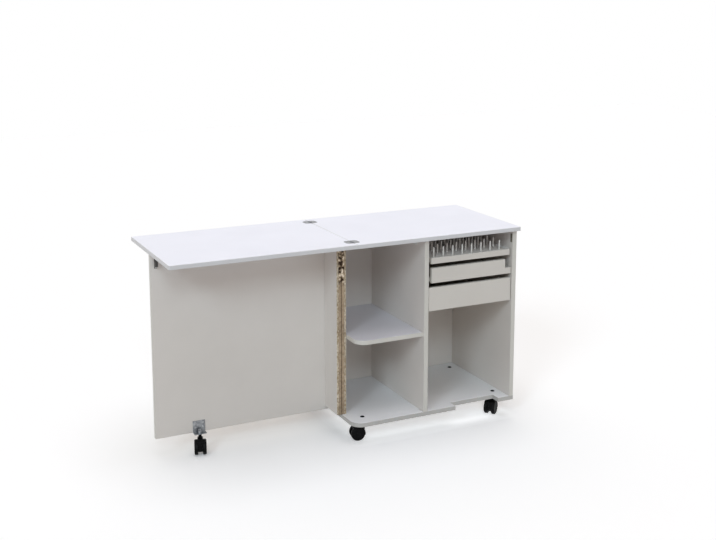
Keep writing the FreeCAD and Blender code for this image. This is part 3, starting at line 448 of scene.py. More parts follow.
@dataclass(frozen=True)
class MouldedPlastic(Finish):
    """Injection-moulded plastic with a spark-eroded texture: satin, with scuffs and a little dust.

    Scuffs are duller and a shade lighter than the moulded skin.
    """

    clouds: Spots = Spots(12.0, 6.0, 0.65)
    tone_ends: Point = (0.3, 0.6)
    grain: Spots = Spots(0.6, 2.0, 0.6)  # real pits are about 0.1 mm, drawn coarser so that they show
    scuff: str = "#8A8A8A"
    scuff_ends: Point = (0.52, 0.8)
    scuff_share: float = 0.1
    sheen_ends: Point = (0.4, 0.75)
    duller: float = 0.2

    def pattern(self, tree: Tree, place: Source) -> Inputs:
        """Eroded texture, scuffs and dust.

        Args:
            tree: Node tree of the material.
            place: Coordinates in the table's frame, in metres.

        Returns:
            Nodes by the name of the shader's input.
        """
        inputs = super().pattern(tree, place)
        cloud = add(tree, "TexNoise", self.clouds.inputs(place))
        share = add(tree, "MapRange", between(cloud, self.scuff_ends, (0.0, self.scuff_share)))
        scuffed: Inputs = {"Fac": share, "Color1": inputs["Base Color"], "Color2": linear(self.scuff)}
        sheen = between(cloud, self.sheen_ends, (self.roughness, self.roughness + self.duller))
        inputs["Base Color"] = add(tree, "MixRGB", scuffed)
        inputs["Roughness"] = add(tree, "MapRange", sheen)
        return inputs


WORKTOP = SatinMelamine("worktop_white_melamine", "#E5E6F0", "#E1E2EC", 0.34)
BOARD = SatinMelamine("board_white_melamine", "#DFD9D3", "#DBD5CF", 0.42)
# A lighter copy of the board white: painted light on the deck inside the bay.
LIT_DECK = SatinMelamine("deck_melamine_painted_light", "#EBEBEC", "#E7E7E8", 0.36)
SHELF = SatinMelamine("shelf_white_melamine", "#DBD9DE", "#D7D5DA", 0.36)
# A darker copy of the board white: painted shade on the fronts, trays and spool board inside the bay, under
# the top.
SHADED_FRONT = SatinMelamine("front_warm_melamine_painted_shade", "#D5D0C9", "#D1CCC5", 0.42)
HARDBOARD = SatinMelamine("drawer_bottom_white_hardboard", "#E2DED7", "#DAD5CC", 0.5, grain=Spots(1.4))
# The edge tape is darker than the faces' white: painted shade on the board edges.
SHADED_TAPE = EdgeTape("edge_abs_tape_painted_shade", "#D3D0C9", "#CFCCC5", 0.33)
# A darker copy of the edge tape: painted shade on the bottom board's rounded front edge.
SHADED_DECK_TAPE = EdgeTape("deck_edge_tape_painted_shade", "#BBB9B5", "#B7B5B1", 0.33)
# The tops' tape is darker than the worktop white: painted shade on the tops' edges.
SHADED_WORKTOP_TAPE = EdgeTape("worktop_tape_painted_shade", "#D6D6D8", "#D2D2D4", 0.3)
SAWN = SawnChipboard("sawn_chipboard_core", "#D8CBB4", "#AD9A7D", 0.85)
# The hinge steel gets painted shade and painted reflections from 585 mm up, under the top's overhang.
BRONZED = PlatedSteel(
    "piano_hinge_bronzed_steel", "#AA9984", "#91816D", 0.42, patch=9.0, tarnish="#42342A", tarnish_share=0.3,
    painted_from=585.0,
)
# The knuckles are a darker copy of the hinge steel: painted shade along the hinge's barrel.
SHADED_KNUCKLE = replace(BRONZED, name="piano_hinge_knuckle_painted_shade", colour="#8A7A66", shade="#726351")
NICKEL = PlatedSteel("flush_hinge_nickelled_zinc", "#8E8F93", "#77787C", 0.34, patch=4.0)
ZINC = PlatedSteel(
    "bracket_zinc_plated_steel", "#A9ABAD", "#84878B", 0.4, patch=8.0, tarnish="#45484B", tarnish_share=0.55
)
STRIKE = PlatedSteel("strike_dull_steel", "#A8A294", "#8E897C", 0.55, patch=3.0)
SCREW_ZINC = PlatedSteel("screw_zinc_plated_steel", "#C9CACB", "#AFB1B3", 0.3, patch=2.0)
ENAMEL = SprayedEnamel("fitting_white_enamel", "#E9E9E7", "#E1E1DE", 0.28)
PIN_PLASTIC = MouldedPlastic(
    "spool_pin_white_polypropylene", "#EFEDE8", "#E6E3DC", 0.32, scuff="#D8D4CB", scuff_share=0.2
)
NYLON = MouldedPlastic(
    "caster_black_nylon", "#060606", "#040404", 0.4, ior=1.2, scuff="#3A3A3A", scuff_share=0.05
)
WHEEL = MouldedPlastic(
    "wheel_black_polypropylene", "#070707", "#040404", 0.45, ior=1.2, scuff="#3A3A3A", scuff_share=0.06
)
CAP = MouldedPlastic(
    "cap_black_polyethylene", "#09090A", "#060606", 0.42, ior=1.25, scuff="#3A3A3A", scuff_share=0.06
)
CATCH = MouldedPlastic("catch_dark_grey_abs", "#3A3836", "#2C2A29", 0.4, scuff="#6A6866")


# ---- Reading the CAD model ----
def body_of(node: str) -> str:
    """Name of the moving body that a CAD node belongs to."""
    return frame["nodes"][node]["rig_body"]


def limits(node: str) -> tuple[Vector, Vector]:
    """Lowest and highest corner of a CAD node."""
    low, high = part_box(node)
    return low / MM, high / MM


def joint_axis(name: str) -> tuple[Vector, Vector]:
    """A point on a joint's axis and the direction of the axis."""
    joint = next(row for row in frame["joints"] if row["name"] == name)
    return Vector(joint["pos_m"]) / MM, Vector(joint["axis"]).normalized()


def cad_mesh(node: str) -> bmesh.types.BMesh:
    """A welded copy of a CAD node's mesh with its flat faces whole.

    Args:
        node: Name of the CAD node.

    Returns:
        The mesh.
    """
    mesh = bmesh.new()
    mesh.from_mesh(frame["nodes"][node].data)
    mesh.transform(Matrix.Scale(1.0 / MM, 4))
    bmesh.ops.remove_doubles(mesh, verts=mesh.verts, dist=WELD)
    bmesh.ops.dissolve_limit(mesh, angle_limit=FLAT, verts=mesh.verts, edges=mesh.edges)
    return mesh


@dataclass(frozen=True)
class Turning:
    """A round solid of the CAD model: where it starts, which way it points and its outline.

    The outline holds pairs of a distance along the axis and a radius there.
    """

    foot: Vector
    axis: Vector
    outline: tuple[Point, ...]


def turnings(node: str) -> list[Turning]:
    """Reads the separate round solids of a CAD node, each with its wider end last.

    Args:
        node: Name of the CAD node.

    Returns:
        One turning for each solid.
    """
    mesh = cad_mesh(node)
    found: list[Turning] = []
    taken: set[bmesh.types.BMVert] = set()
    for first in mesh.verts:
        if first in taken:
            continue
        taken.add(first)
        group = [first]
        for vert in group:
            for edge in vert.link_edges:
                other = edge.other_vert(vert)
                if other not in taken:
                    taken.add(other)
                    group.append(other)
        corners = [vert.co.copy() for vert in group]
        low = Vector([min(co[k] for co in corners) for k in range(3)])
        high = Vector([max(co[k] for co in corners) for k in range(3)])
        k = max(range(3), key=lambda index: high[index] - low[index])
        middle = (low + high) / 2
        levels: dict[float, float] = {}
        for co in corners:
            away = co - middle
            away[k] = 0.0
            level = round(co[k] - low[k], 1)  # rings lie at least 0.1 mm apart
            levels[level] = max(levels.get(level, 0.0), away.length)
        outline = sorted(levels.items())
        axis = Vector([float(index == k) for index in range(3)])
        foot = middle.copy()
        foot[k] = low[k]
        if outline[0][1] > outline[-1][1]:
            length = high[k] - low[k]
            outline = sorted((length - level, radius) for level, radius in outline)
            foot[k] = high[k]
            axis = -axis
        found.append(Turning(foot, axis, tuple(outline)))
    mesh.free()
    return found


# ---- Building meshes ----
class Along(Enum):
    """The axis that a board's thickness lies along."""

    X = 0
    Y = 1
    Z = 2

    def point(self, first: float, second: float, level: float) -> Vector:
        """A point from two coordinates in the board's plane and one along its thickness."""
        plane = (first, second)
        return Vector((*plane[: self.value], level, *plane[self.value :]))


class Rim(Enum):
    """The sides of an upright or level rectangle, by their place in its outline."""

    FIRST_LOW = 3
    FIRST_HIGH = 1
    SECOND_LOW = 0
    SECOND_HIGH = 2


def rectangle(low: Point, high: Point) -> list[Point]:
    """Outline of a rectangle, counter-clockwise from its lowest corner."""
    return [low, (high[0], low[1]), high, (low[0], high[1])]


def arc(centre: Point, radius: float, start: float, end: float, steps: int) -> list[Point]:
    """Points on an arc.

    Args:
        centre: Middle of the arc.
        radius: Its radius.
        start: First angle in degrees.
        end: Last angle in degrees.
        steps: Number of pieces.

    Returns:
        One point more than there are pieces.
    """
    angles = [math.radians(start + (end - start) * index / steps) for index in range(steps + 1)]
    return [(centre[0] + radius * math.cos(a), centre[1] + radius * math.sin(a)) for a in angles]


def inset(outline: Sequence[Point], depths: Sequence[float]) -> list[Point]:
    """Moves the sides of a counter-clockwise outline inwards.

    Args:
        outline: Corners of the outline.
        depths: How far each side moves; a side starts at the corner with its number.

    Returns:
        The corners of the smaller outline.
    """
    count = len(outline)
    straight = 0.02  # sine of the turn under which two sides count as one line
    moved: list[Point] = []
    for index, (x, y) in enumerate(outline):
        normals: list[Point] = []
        for side in (index - 1, index):
            ax, ay = outline[side % count]
            bx, by = outline[(side + 1) % count]
            length = math.hypot(bx - ax, by - ay)
            normals.append((-(by - ay) / length, (bx - ax) / length))
        (a, b), (c, d) = normals
        before, after = depths[(index - 1) % count], depths[index]
        turn = a * d - b * c
        if abs(turn) < straight:
            reach = max(before, after)
            moved.append((x + reach * (a + c) / 2, y + reach * (b + d) / 2))
        else:
            moved.append((x + (before * d - after * b) / turn, y + (a * after - c * before) / turn))
    return moved


def round_off(mesh: bmesh.types.BMesh, edge: float, steps: int, sharp: float = 35.0) -> None:
    """Rounds the sharp edges of a mesh.

    Args:
        mesh: The mesh.
        edge: Radius of the rounding.
        steps: Pieces in each rounding.
        sharp: Smallest angle in degrees between faces that is rounded.
    """
    edges = [e for e in mesh.edges if e.is_manifold and e.calc_face_angle(0.0) > math.radians(sharp)]
    bmesh.ops.bevel(
        mesh, geom=edges, offset=edge, segments=steps, profile=0.5, affect="EDGES", clamp_overlap=True
    )


class Shape:
    """A mesh under construction, in the table's own frame."""

    def __init__(self) -> None:
        """Starts with an empty mesh."""
        self.mesh = bmesh.new()

    def loft(
        self, rings: Sequence[Sequence[Vector]], finish: int = 0, loop: bool = False
    ) -> list[bmesh.types.BMFace]:
        """Joins rings of points with faces and closes the ends.

        Args:
            rings: Rings with the same number of points.
            finish: Number of the finish that the faces get.
            loop: Joins the last ring to the first instead of closing both.

        Returns:
            The new faces.
        """
        rows = [[self.mesh.verts.new(point) for point in ring] for ring in rings]
        pairs = list(zip(rows, rows[1:]))
        if loop:
            pairs.append((rows[-1], rows[0]))
        faces: list[bmesh.types.BMFace] = []
        for low, high in pairs:
            for index in range(len(low)):
                after = (index + 1) % len(low)
                faces.append(self.mesh.faces.new((low[index], low[after], high[after], high[index])))
        if not loop:
            faces.append(self.mesh.faces.new(rows[0][::-1]))
            faces.append(self.mesh.faces.new(rows[-1]))
        for face in faces:
            face.material_index = finish
        return faces

    def turned(
        self,
        foot: Vector,
        axis: Vector,
        profile: Sequence[Point],
        sides: int,
        radius_at: Callable[[int, float], float] | None = None,
    ) -> None:
        """Turns a profile about an axis.

        Args:
            foot: Where the axis starts.
            axis: Its direction.
            profile: Pairs of a distance along the axis and a radius.
            sides: Points in each ring.
            radius_at: Radius for a ring's number and an angle, where a ring isn't round.
        """
        turn = Vector((0, 0, 1)).rotation_difference(axis)
        rings: list[list[Vector]] = []
        for number, (level, radius) in enumerate(profile):
            ring: list[Vector] = []
            for side in range(sides):
                angle = 2 * math.pi * side / sides
                reach = radius_at(number, angle) if radius_at else radius
                local = Vector((reach * math.cos(angle), reach * math.sin(angle), level))
                ring.append(foot + turn @ local)
            rings.append(ring)
        self.loft(rings)

    def take(self, part: bmesh.types.BMesh) -> None:
        """Moves another mesh into this one, with the first finish.

        Args:
            part: The other mesh, which is freed.
        """
        for face in part.faces:
            face.material_index = 0
        holder = bpy.data.meshes.new("holder")
        part.to_mesh(holder)
        part.free()
        self.mesh.from_mesh(holder)
        bpy.data.meshes.remove(holder)

    def softened(self, node: str, edge: float, steps: int, sharp: float = 35.0) -> None:
        """Adds a CAD node's shape with its sharp edges rounded.

        Args:
            node: Name of the CAD node.
            edge: Radius of the rounding.
            steps: Pieces in each rounding.
            sharp: Smallest angle in degrees between faces that is rounded.
        """
        part = cad_mesh(node)
        round_off(part, edge, steps, sharp)
        self.take(part)

    def piece(self, name: str, finishes: Sequence[Finish], node: str, smooth: float = 48.0) -> Piece:
        """Turns the mesh into a piece of the table.

        Args:
            name: Name of the piece.
            finishes: Finishes by their number in the mesh.
            node: CAD node that the piece replaces, which gives it its body.
            smooth: Angle in degrees up to which neighbouring faces are shaded as one.

        Returns:
            The new object.
        """
        bmesh.ops.recalc_face_normals(self.mesh, faces=self.mesh.faces[:])
        data = bpy.data.meshes.new(name)
        self.mesh.transform(Matrix.Scale(MM, 4))
        self.mesh.to_mesh(data)
        self.mesh.free()
        for finish in finishes:
            data.materials.append(finish.material())
        data.polygons.foreach_set("use_smooth", [True] * len(data.polygons))
        data.set_sharp_from_angle(angle=math.radians(smooth))
        piece = into_scene(name, data)
        piece.modifiers.new("even_shading", "WEIGHTED_NORMAL").keep_sharp = True
        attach(piece, body_of(node))
        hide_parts(node)
        log.info("%s: %d faces on %s", name, len(data.polygons), body_of(node))
        return piece


# ---- Boards ----
@dataclass
class Board:
    """A melamine-faced board with edge tape on its sides, or with a side left sawn."""

    node: str
    thickness: Along
    face: Finish = BOARD
    tape: Finish = SHADED_TAPE
    outline: list[Point] | None = None
    sawn: tuple[Rim, ...] = ()
    tape_depth: float = 1.0
    tape_edge: float = 0.9
    tape_steps: int = 2
    facing: float = 0.35
    trim: float = 0.15

    def span(self) -> tuple[list[Point], float, float]:
        """The board's outline and the two levels of its faces.

        Returns:
            Outline, low level and high level.
        """
        low, high = limits(self.node)
        k = self.thickness.value
        u, v = (index for index in range(3) if index != k)
        return self.outline or rectangle((low[u], low[v]), (high[u], high[v])), low[k], high[k]

    def core(self, shape: Shape, outline: list[Point], low: float, high: float) -> None:
        """Adds the faced core, whose sawn sides show the chips.

        Args:
            shape: Mesh that gets the core.
            outline: Outline of the board.
            low: Level of its first face.
            high: Level of its second face.
        """
        raw = {rim.value for rim in self.sawn}
        count = len(outline)
        height = high - low
        depths = [0.0 if side in raw else self.tape_depth for side in range(count)]
        rings: list[list[Vector]] = []
        for level in (0.0, self.trim, self.facing, height - self.facing, height - self.trim, height):
            extra = self.trim if level in (0.0, height) else 0.0
            ring = inset(outline, [depth + extra for depth in depths])
            rings.append([self.thickness.point(u, v, low + level) for u, v in ring])
        faces = shape.loft(rings)
        for side in raw:
            faces[2 * count + side].material_index = 2

    def edging(self, shape: Shape, outline: list[Point], low: float, high: float) -> None:
        """Adds the edge tape round the sides that have one.

        Args:
            shape: Mesh that gets the tape.
            outline: Outline of the board.
            low: Level of its first face.
            high: Level of its second face.
        """
        raw = {rim.value for rim in self.sawn}
        count = len(outline)
        height = high - low
        r = self.tape_edge
        bends = [math.radians(90 * step / self.tape_steps) for step in range(self.tape_steps + 1)]
        under = [(r * (1 - math.sin(a)), r * (1 - math.cos(a))) for a in bends]
        over = [(depth, height - level) for depth, level in reversed(under)]
        section = [(self.tape_depth, 0.0), *under, *over, (self.tape_depth, height)]
        columns: list[list[Vector]] = [[] for _ in outline]
        for depth, level in section:
            depths = [0.0 if side in raw else depth for side in range(count)]
            for index, (u, v) in enumerate(inset(outline, depths)):
                columns[index].append(self.thickness.point(u, v, low + level))
        if not raw:
            shape.loft(columns, finish=1, loop=True)
            return
        start = next(side for side in range(count) if side not in raw and (side - 1) % count in raw)
        run = [start]
        while run[-1] % count not in raw:
            run.append((run[-1] + 1) % count)
        shape.loft([columns[index] for index in run], finish=1)

    def build(self) -> Piece:
        """Builds the board.

        Returns:
            The piece.
        """
        outline, low, high = self.span()
        shape = Shape()
        self.core(shape, outline, low, high)
        self.edging(shape, outline, low, high)
        return shape.piece(f"{self.node}_board", (self.face, self.tape, SAWN), self.node)


@dataclass
class Worktop(Board):
    """A top with recesses for its flush hinges, rounded outer corners and tape all round.

    A CAD corner counts as on the arc or on a side when it is nearer than near_arc or near_side.
    """

    face: Finish = WORKTOP
    tape: Finish = SHADED_WORKTOP_TAPE
    tape_depth: float = 2.0
    tape_edge: float = 1.8
    tape_steps: int = 4
    corner: float = 5.0
    corner_steps: int = 6
    core_edge: float = 0.12
    near_arc: float = 0.1
    near_side: float = 0.02
    outer_right: bool = True

    def rounded(self) -> list[Point]:
        """Outline with the two outer corners rounded.

        Returns:
            The outline, counter-clockwise.
        """
        low, high = limits(self.node)
        r = self.corner
        points: list[Point] = []
        corners = (
            ((low.x, low.y), (1, 1), 180, not self.outer_right),
            ((high.x, low.y), (-1, 1), 270, self.outer_right),
            ((high.x, high.y), (-1, -1), 0, self.outer_right),
            ((low.x, high.y), (1, -1), 90, not self.outer_right),
        )
        for (x, y), (right, up), start, rounded in corners:
            if rounded:
                points += arc((x + right * r, y + up * r), r, start, start + 90, self.corner_steps)
            else:
                points.append((x, y))
        return points

    def core(self, shape: Shape, outline: list[Point], low: float, high: float) -> None:
        """Adds the CAD top with its rim drawn in to make room for the tape.

        Args:
            shape: Mesh that gets the core.
            outline: Outline of the top.
            low: Level of its underside.
            high: Level of its upper side.
        """
        part = cad_mesh(self.node)
        left, right = min(p[0] for p in outline), max(p[0] for p in outline)
        front, back = min(p[1] for p in outline), max(p[1] for p in outline)
        r, depth, near = self.corner, self.tape_depth, self.near_side
        centre_x = right - r if self.outer_right else left + r
        for vert in part.verts:
            x, y = vert.co.x, vert.co.y
            outside = x > centre_x if self.outer_right else x < centre_x
            if outside and (y < front + r or y > back - r):
                centre_y = front + r if y < front + r else back - r
                away = Vector((x - centre_x, y - centre_y))
                if abs(away.length - r) < self.near_arc:
                    away *= (r - depth) / away.length
                    vert.co.x, vert.co.y = centre_x + away.x, centre_y + away.y
                continue
            vert.co.x += depth * (abs(x - left) < near) - depth * (abs(x - right) < near)
            vert.co.y += depth * (abs(y - front) < near) - depth * (abs(y - back) < near)
        round_off(part, self.core_edge, 1)
        shape.take(part)

    def build(self) -> Piece:
        """Builds the top."""
        self.outline = self.rounded()
        return super().build()


# ---- Fittings ----
@dataclass
class Screws:
    """The screws of one CAD node, with a cross recess in each head.

    Each curve holds pairs of a distance and a radius. The tip's are shares of its radius, the head's a
    distance in millimetres and a share of its radius, and the cross's shares of its depth and its arms.
    """

    node: str
    finish: Finish = SCREW_ZINC
    sides: int = 40
    tip_curve: tuple[Point, ...] = ((0.0, 0.35), (0.9, 0.96))
    head_curve: tuple[Point, ...] = ((0.25, 0.985), (0.08, 0.95), (0.0, 0.86))
    cross_curve: tuple[Point, ...] = ((0.0, 1.0), (0.8, 0.82), (1.0, 0.35))
    shank_share: float = 0.999
    cross_reach: float = 0.62
    cross_depth: float = 0.55
    cross_arm: float = 0.24

    def recess(self, reach: float, angle: float) -> float:
        """Radius of a cross-shaped outline at an angle.

        Args:
            reach: Length of its arms.
            angle: Angle in radians.

        Returns:
            Distance from the middle.
        """
        half = reach * self.cross_arm
        turn = (angle + math.pi / 4) % (math.pi / 2) - math.pi / 4
        end = reach / math.cos(turn)
        side = half / max(abs(math.sin(turn)), 1e-6)
        return min(end, side)

    def build(self) -> Piece:
        """Builds all screws of the node as one piece.

        Returns:
            The piece.
        """
        shape = Shape()
        for screw in turnings(self.node):
            (tip_level, tip), *shank, (top, head) = screw.outline
            reach, depth = head * self.cross_reach, head * self.cross_depth
            profile = [
                *((tip_level + tip * up, tip * share) for up, share in self.tip_curve),
                *((level, radius * self.shank_share) for level, radius in shank),
                *((top - down, head * share) for down, share in self.head_curve),
                *((top - depth * down, reach * share) for down, share in self.cross_curve),
            ]

            def radius_at(number: int, angle: float) -> float:
                """Radius of one ring at an angle, with the cross in the head."""
                crossed = number >= len(profile) - len(self.cross_curve)
                return self.recess(profile[number][1], angle) if crossed else profile[number][1]

            shape.turned(screw.foot, screw.axis, profile, self.sides, radius_at)
        return shape.piece(f"{self.node}_cross_head", (self.finish,), self.node, smooth=40)


@dataclass
class SpoolPins:
    """Moulded pins that hold the thread spools.

    The shoulder and the point are pairs of a distance below the top and a share of the radius there.
    """

    node: str = "spool_pins"
    sides: int = 24
    foot_height: float = 10.4
    foot_share: float = 0.9
    shoulder: tuple[Point, ...] = ((4.2, 0.97), (3.0, 0.93))
    neck: float = 1.6
    point: tuple[Point, ...] = ((0.6, 1.02), (0.15, 0.7), (0.0, 0.3))

    def build(self) -> Piece:
        """Builds the pins as one piece.

        Returns:
            The piece.
        """
        shape = Shape()
        for pin in turnings(self.node):
            length = max(level for level, _ in pin.outline)
            thick = max(radius for _, radius in pin.outline)
            slim = min(radius for _, radius in pin.outline)
            upward = pin.axis if pin.axis.z > 0 else -pin.axis
            foot = pin.foot if pin.axis.z > 0 else pin.foot + pin.axis * length
            profile = [
                (0.0, thick * self.foot_share),
                (self.foot_height, thick),
                *((length - down, thick * share) for down, share in self.shoulder),
                (length - self.neck, (thick + slim) / 2),
                *((length - down, slim * share) for down, share in self.point),
            ]
            shape.turned(foot, upward, profile, self.sides)
        return shape.piece("spool_pin_set", (PIN_PLASTIC,), self.node, smooth=40)


@dataclass
class Caster:
    """A twin-wheel caster: the moulded hood and the two wheels with their hub caps.

    The two sides of a wheel are pairs of a distance inwards from that side and a depth below the tread.
    """

    name: str
    radius: float = 27.0
    inner: float = 9.0
    width: float = 13.0
    axle_radius: float = 4.0
    axle_spare: float = 1.0
    inner_side: tuple[Point, ...] = (
        (0.0, 22.0), (0.0, 8.0), (0.6, 7.0), (0.6, 3.0), (0.0, 2.4), (0.0, 1.4), (0.8, 0.4), (2.2, 0.0)
    )
    outer_side: tuple[Point, ...] = (
        (0.0, 4.6), (0.9, 5.2), (0.9, 6.2), (0.4, 6.8), (0.3, 17.0), (0.7, 18.4), (0.7, 19.4), (0.1, 20.1),
        (0.1, 25.0),
    )
    rim_start: float = 17.4
    rim_rounding: float = 5.0
    rim_steps: tuple[float, ...] = (0.0, 1.2, 2.4, 3.4, 4.1, 4.6)
    hood_edge: float = 0.7
    hood_steps: int = 2
    hood_sharp: float = 40.0
    wheel_sides: int = 72
    axle_sides: int = 24

    def drop(self, reach: float) -> float:
        """How far the round shoulder has fallen at a distance from its start."""
        return self.rim_rounding - math.sqrt(self.rim_rounding**2 - min(reach, self.rim_steps[-1]) ** 2)

    def wheels(self) -> Piece:
        """Builds both wheels and the axle.

        Returns:
            The piece that rolls.
        """
        middle, axis = joint_axis(f"{self.name}_roll")
        shape = Shape()
        outer = self.inner + self.width
        r = self.radius
        profile = [
            *((self.inner + inwards, r - deep) for inwards, deep in self.inner_side),
            *((self.rim_start + step, r - self.drop(step)) for step in self.rim_steps),
            *((outer - inwards, r - deep) for inwards, deep in self.outer_side),
        ]
        for side in (1.0, -1.0):
            shape.turned(middle, axis * side, profile, self.wheel_sides)
        half = self.inner + self.axle_spare
        rod = ((0.0, self.axle_radius), (2 * half, self.axle_radius))
        shape.turned(middle - axis * half, axis, rod, self.axle_sides)
        return shape.piece(f"{self.name}_twin_wheels", (WHEEL,), f"{self.name}_wheels", smooth=35)

    def hood(self) -> Piece:
        """Builds the moulded hood.

        Returns:
            The piece that swivels.
        """
        node = f"{self.name}_hood"
        shape = Shape()
        shape.softened(node, self.hood_edge, self.hood_steps, self.hood_sharp)
        middle, axis = joint_axis(f"{self.name}_roll")
        for step in self.rim_steps[:-1]:
            for side in (1.0, -1.0):
                geometry = [*shape.mesh.verts, *shape.mesh.edges, *shape.mesh.faces]
                rim = middle + axis * (side * (self.rim_start + step))
                bmesh.ops.bisect_plane(shape.mesh, geom=geometry, plane_co=rim, plane_no=axis)
        for vert in shape.mesh.verts:
            away = vert.co - middle
            along = away.dot(axis)
            outward = (away - axis * along).normalized()
            vert.co -= outward * self.drop(max(0.0, abs(along) - self.rim_start))
        return shape.piece(f"{self.name}_moulded_hood", (NYLON,), node, smooth=45)

    def build(self) -> None:
        """Builds the caster."""
        self.wheels()
        self.hood()


@dataclass
class Fitting:
    """A metal or plastic fitting whose CAD shape is right, with its edges rounded.

    Its part under a level can have another finish, such as the plastic collar of a stem.
    """

    node: str
    finish: Finish
    edge: float = 0.3
    steps: int = 2
    other: Finish | None = None
    other_top: float = 0.0

    def takes_other(self, middle: Vector) -> bool:
        """Whether a face with this middle has the other finish."""
        return middle.z < self.other_top

    def build(self) -> Piece:
        """Builds the fitting.

        Returns:
            The piece.
        """
        shape = Shape()
        shape.softened(self.node, self.edge, self.steps)
        for face in shape.mesh.faces:
            face.material_index = int(self.other is not None and self.takes_other(face.calc_center_median()))
        return shape.piece(f"{self.node}_rounded", (self.finish, self.other or self.finish), self.node)


@dataclass
class HingeLeaf(Fitting):
    """A leaf of the piano hinge, whose rolled knuckles are darker than its flat sheet: painted shade along
    the barrel.
    """

    finish: Finish = BRONZED
    edge: float = 0.12
    steps: int = 1
    other: Finish | None = SHADED_KNUCKLE
    barrel: float = 2.1

    def takes_other(self, middle: Vector) -> bool:
        """Whether a face with this middle is on a knuckle."""
        return (middle.xy - joint_axis("door_swing")[0].xy).length < self.barrel


# ---- Sub-assemblies ----
@dataclass
class Tops:
    """The fixed top, the leaf and the flush hinges between them."""

    plate_edge: float = 0.25
    pin_edge: float = 0.15

    def build(self) -> None:
        """Builds the tops."""
        Worktop("fixed_top", Along.Z, outer_right=True).build()
        Worktop("folding_leaf", Along.Z, outer_right=False).build()
        Fitting("fixed_hinge_plates", NICKEL, edge=self.plate_edge).build()
        Fitting("leaf_hinge_plates", NICKEL, edge=self.plate_edge).build()
        Fitting("leaf_hinge_pins", NICKEL, edge=self.pin_edge).build()
        Screws("fixed_hinge_screws").build()
        Screws("leaf_hinge_screws").build()


@dataclass
class Carcass:
    """Sides, divider, back, bottom board and shelf, with what holds them.

    The notch, where the door's caster parks, holds places along the front edge and depths behind it.
    """

    corner: float = 45.0
    corner_steps: int = 18
    notch: tuple[Point, ...] = ((430.0, 0.0), (430.0, 40.0), (625.0, 40.0), (625.0, 0.0))
    collar_top: float = 67.9

    def outline(self, node: str, notch: tuple[Point, ...] = ()) -> list[Point]:
        """Outline of a level board with its front left corner rounded.

        Args:
            node: Name of the board.
            notch: Corners of the notch in its front edge.

        Returns:
            The outline, counter-clockwise.
        """
        low, high = limits(node)
        r = self.corner
        return [
            *arc((low.x + r, low.y + r), r, 180, 270, self.corner_steps),
            *((x, low.y + depth) for x, depth in notch),
            (high.x, low.y),
            (high.x, high.y),
            (low.x, high.y),
        ]

    def build(self) -> None:
        """Builds the carcass."""
        Board("left_side_panel", Along.X, sawn=(Rim.FIRST_LOW,)).build()
        Board("right_side_panel", Along.X).build()
        Board("divider_panel", Along.X).build()
        Board("back_panel", Along.Y).build()
        Board("bottom_board", Along.Z, LIT_DECK, SHADED_DECK_TAPE, self.outline("bottom_board", self.notch)).build()
        Board("shelf", Along.Z, SHELF, outline=self.outline("shelf")).build()
        Fitting("shelf_pins", SCREW_ZINC).build()
        Fitting("strike_plate", STRIKE, edge=0.2).build()
        Fitting("top_brackets", ENAMEL).build()
        Fitting("caster_plates", ZINC, other=NYLON, other_top=self.collar_top).build()
        Fitting("caster_bolt_caps", CAP, edge=0.7, steps=3).build()
        Fitting("cabinet_runners", ENAMEL, edge=0.25).build()
        for node in ("top_bracket_screws", "carcass_screws", "caster_screws"):
            Screws(node).build()


@dataclass
class Door:
    """The L-shaped door, its piano hinge, its catch and the bracket of its caster."""

    collar_top: float = 72.1
    small_sides: int = 32

    def build(self) -> None:
        """Builds the door."""
        Board("door_panel", Along.Y).build()
        Board("return_strip", Along.X, sawn=(Rim.FIRST_LOW,)).build()
        HingeLeaf("piano_hinge_cabinet_leaf").build()
        HingeLeaf("piano_hinge_door_leaf").build()
        Fitting("piano_hinge_pin", BRONZED, edge=0.1, steps=1).build()
        Screws("piano_hinge_cabinet_screws", BRONZED, self.small_sides).build()
        Screws("piano_hinge_door_screws", BRONZED, self.small_sides).build()
        Screws("strip_screws").build()
        Fitting("catch_housing", CATCH, edge=0.5).build()
        Screws("catch_screws", sides=self.small_sides).build()
        Fitting("caster_bracket", ZINC, edge=0.4).build()
        Screws("bracket_screws").build()
        Fitting("door_caster_stem", ZINC, other=NYLON, other_top=self.collar_top).build()


@dataclass
class Trays:
    """The spool tray, the shallow tray and the drawer."""

    notch_left: float = 647.0
    notch_level: float = 612.5
    runner_edge: float = 0.4

    def shallow_outline(self) -> list[Point]:
        """Outline of the shallow tray's front with its finger notch.

        Returns:
            The outline, counter-clockwise.
        """
        low, high = limits("shallow_tray_front")
        return [
            (low.x, low.z),
            (high.x, low.z),
            (high.x, self.notch_level),
            (self.notch_left, self.notch_level),
            (self.notch_left, high.z),
            (low.x, high.z),
        ]

    def build(self) -> None:
        """Builds the trays."""
        Board("spool_tray_front", Along.Y, SHADED_FRONT).build()
        Board("spool_tray_board", Along.Z, SHADED_FRONT).build()
        SpoolPins().build()
        Board("shallow_tray_front", Along.Y, SHADED_FRONT, outline=self.shallow_outline()).build()
        Board("drawer_front", Along.Y, SHADED_FRONT).build()
        for tray in ("shallow_tray", "drawer"):
            Board(f"{tray}_back", Along.Y, SHADED_FRONT).build()
            Fitting(f"{tray}_sides", SHADED_FRONT, edge=0.6).build()
            Fitting(f"{tray}_bottom", HARDBOARD).build()
            Fitting(f"{tray}_runners", ENAMEL, edge=self.runner_edge).build()
        Fitting("spool_tray_runners", ENAMEL, edge=self.runner_edge).build()


# ---- Studio ----
def seen_directly(tree: Tree) -> Source:
    """One for what the camera, a reflection or a glass sees, and nought for the light that objects get.

    Args:
        tree: Node tree of the paper or the sky.

    Returns:
        Source of the one or nought.
    """
    path = add(tree, "LightPath")
    seen: Source = path.outputs["Is Camera Ray"]
    for ray in ("Is Glossy Ray", "Is Transmission Ray"):
        seen = add(tree, "Math", {0: seen, 1: path.outputs[ray]}, operation="MAXIMUM")
    return seen


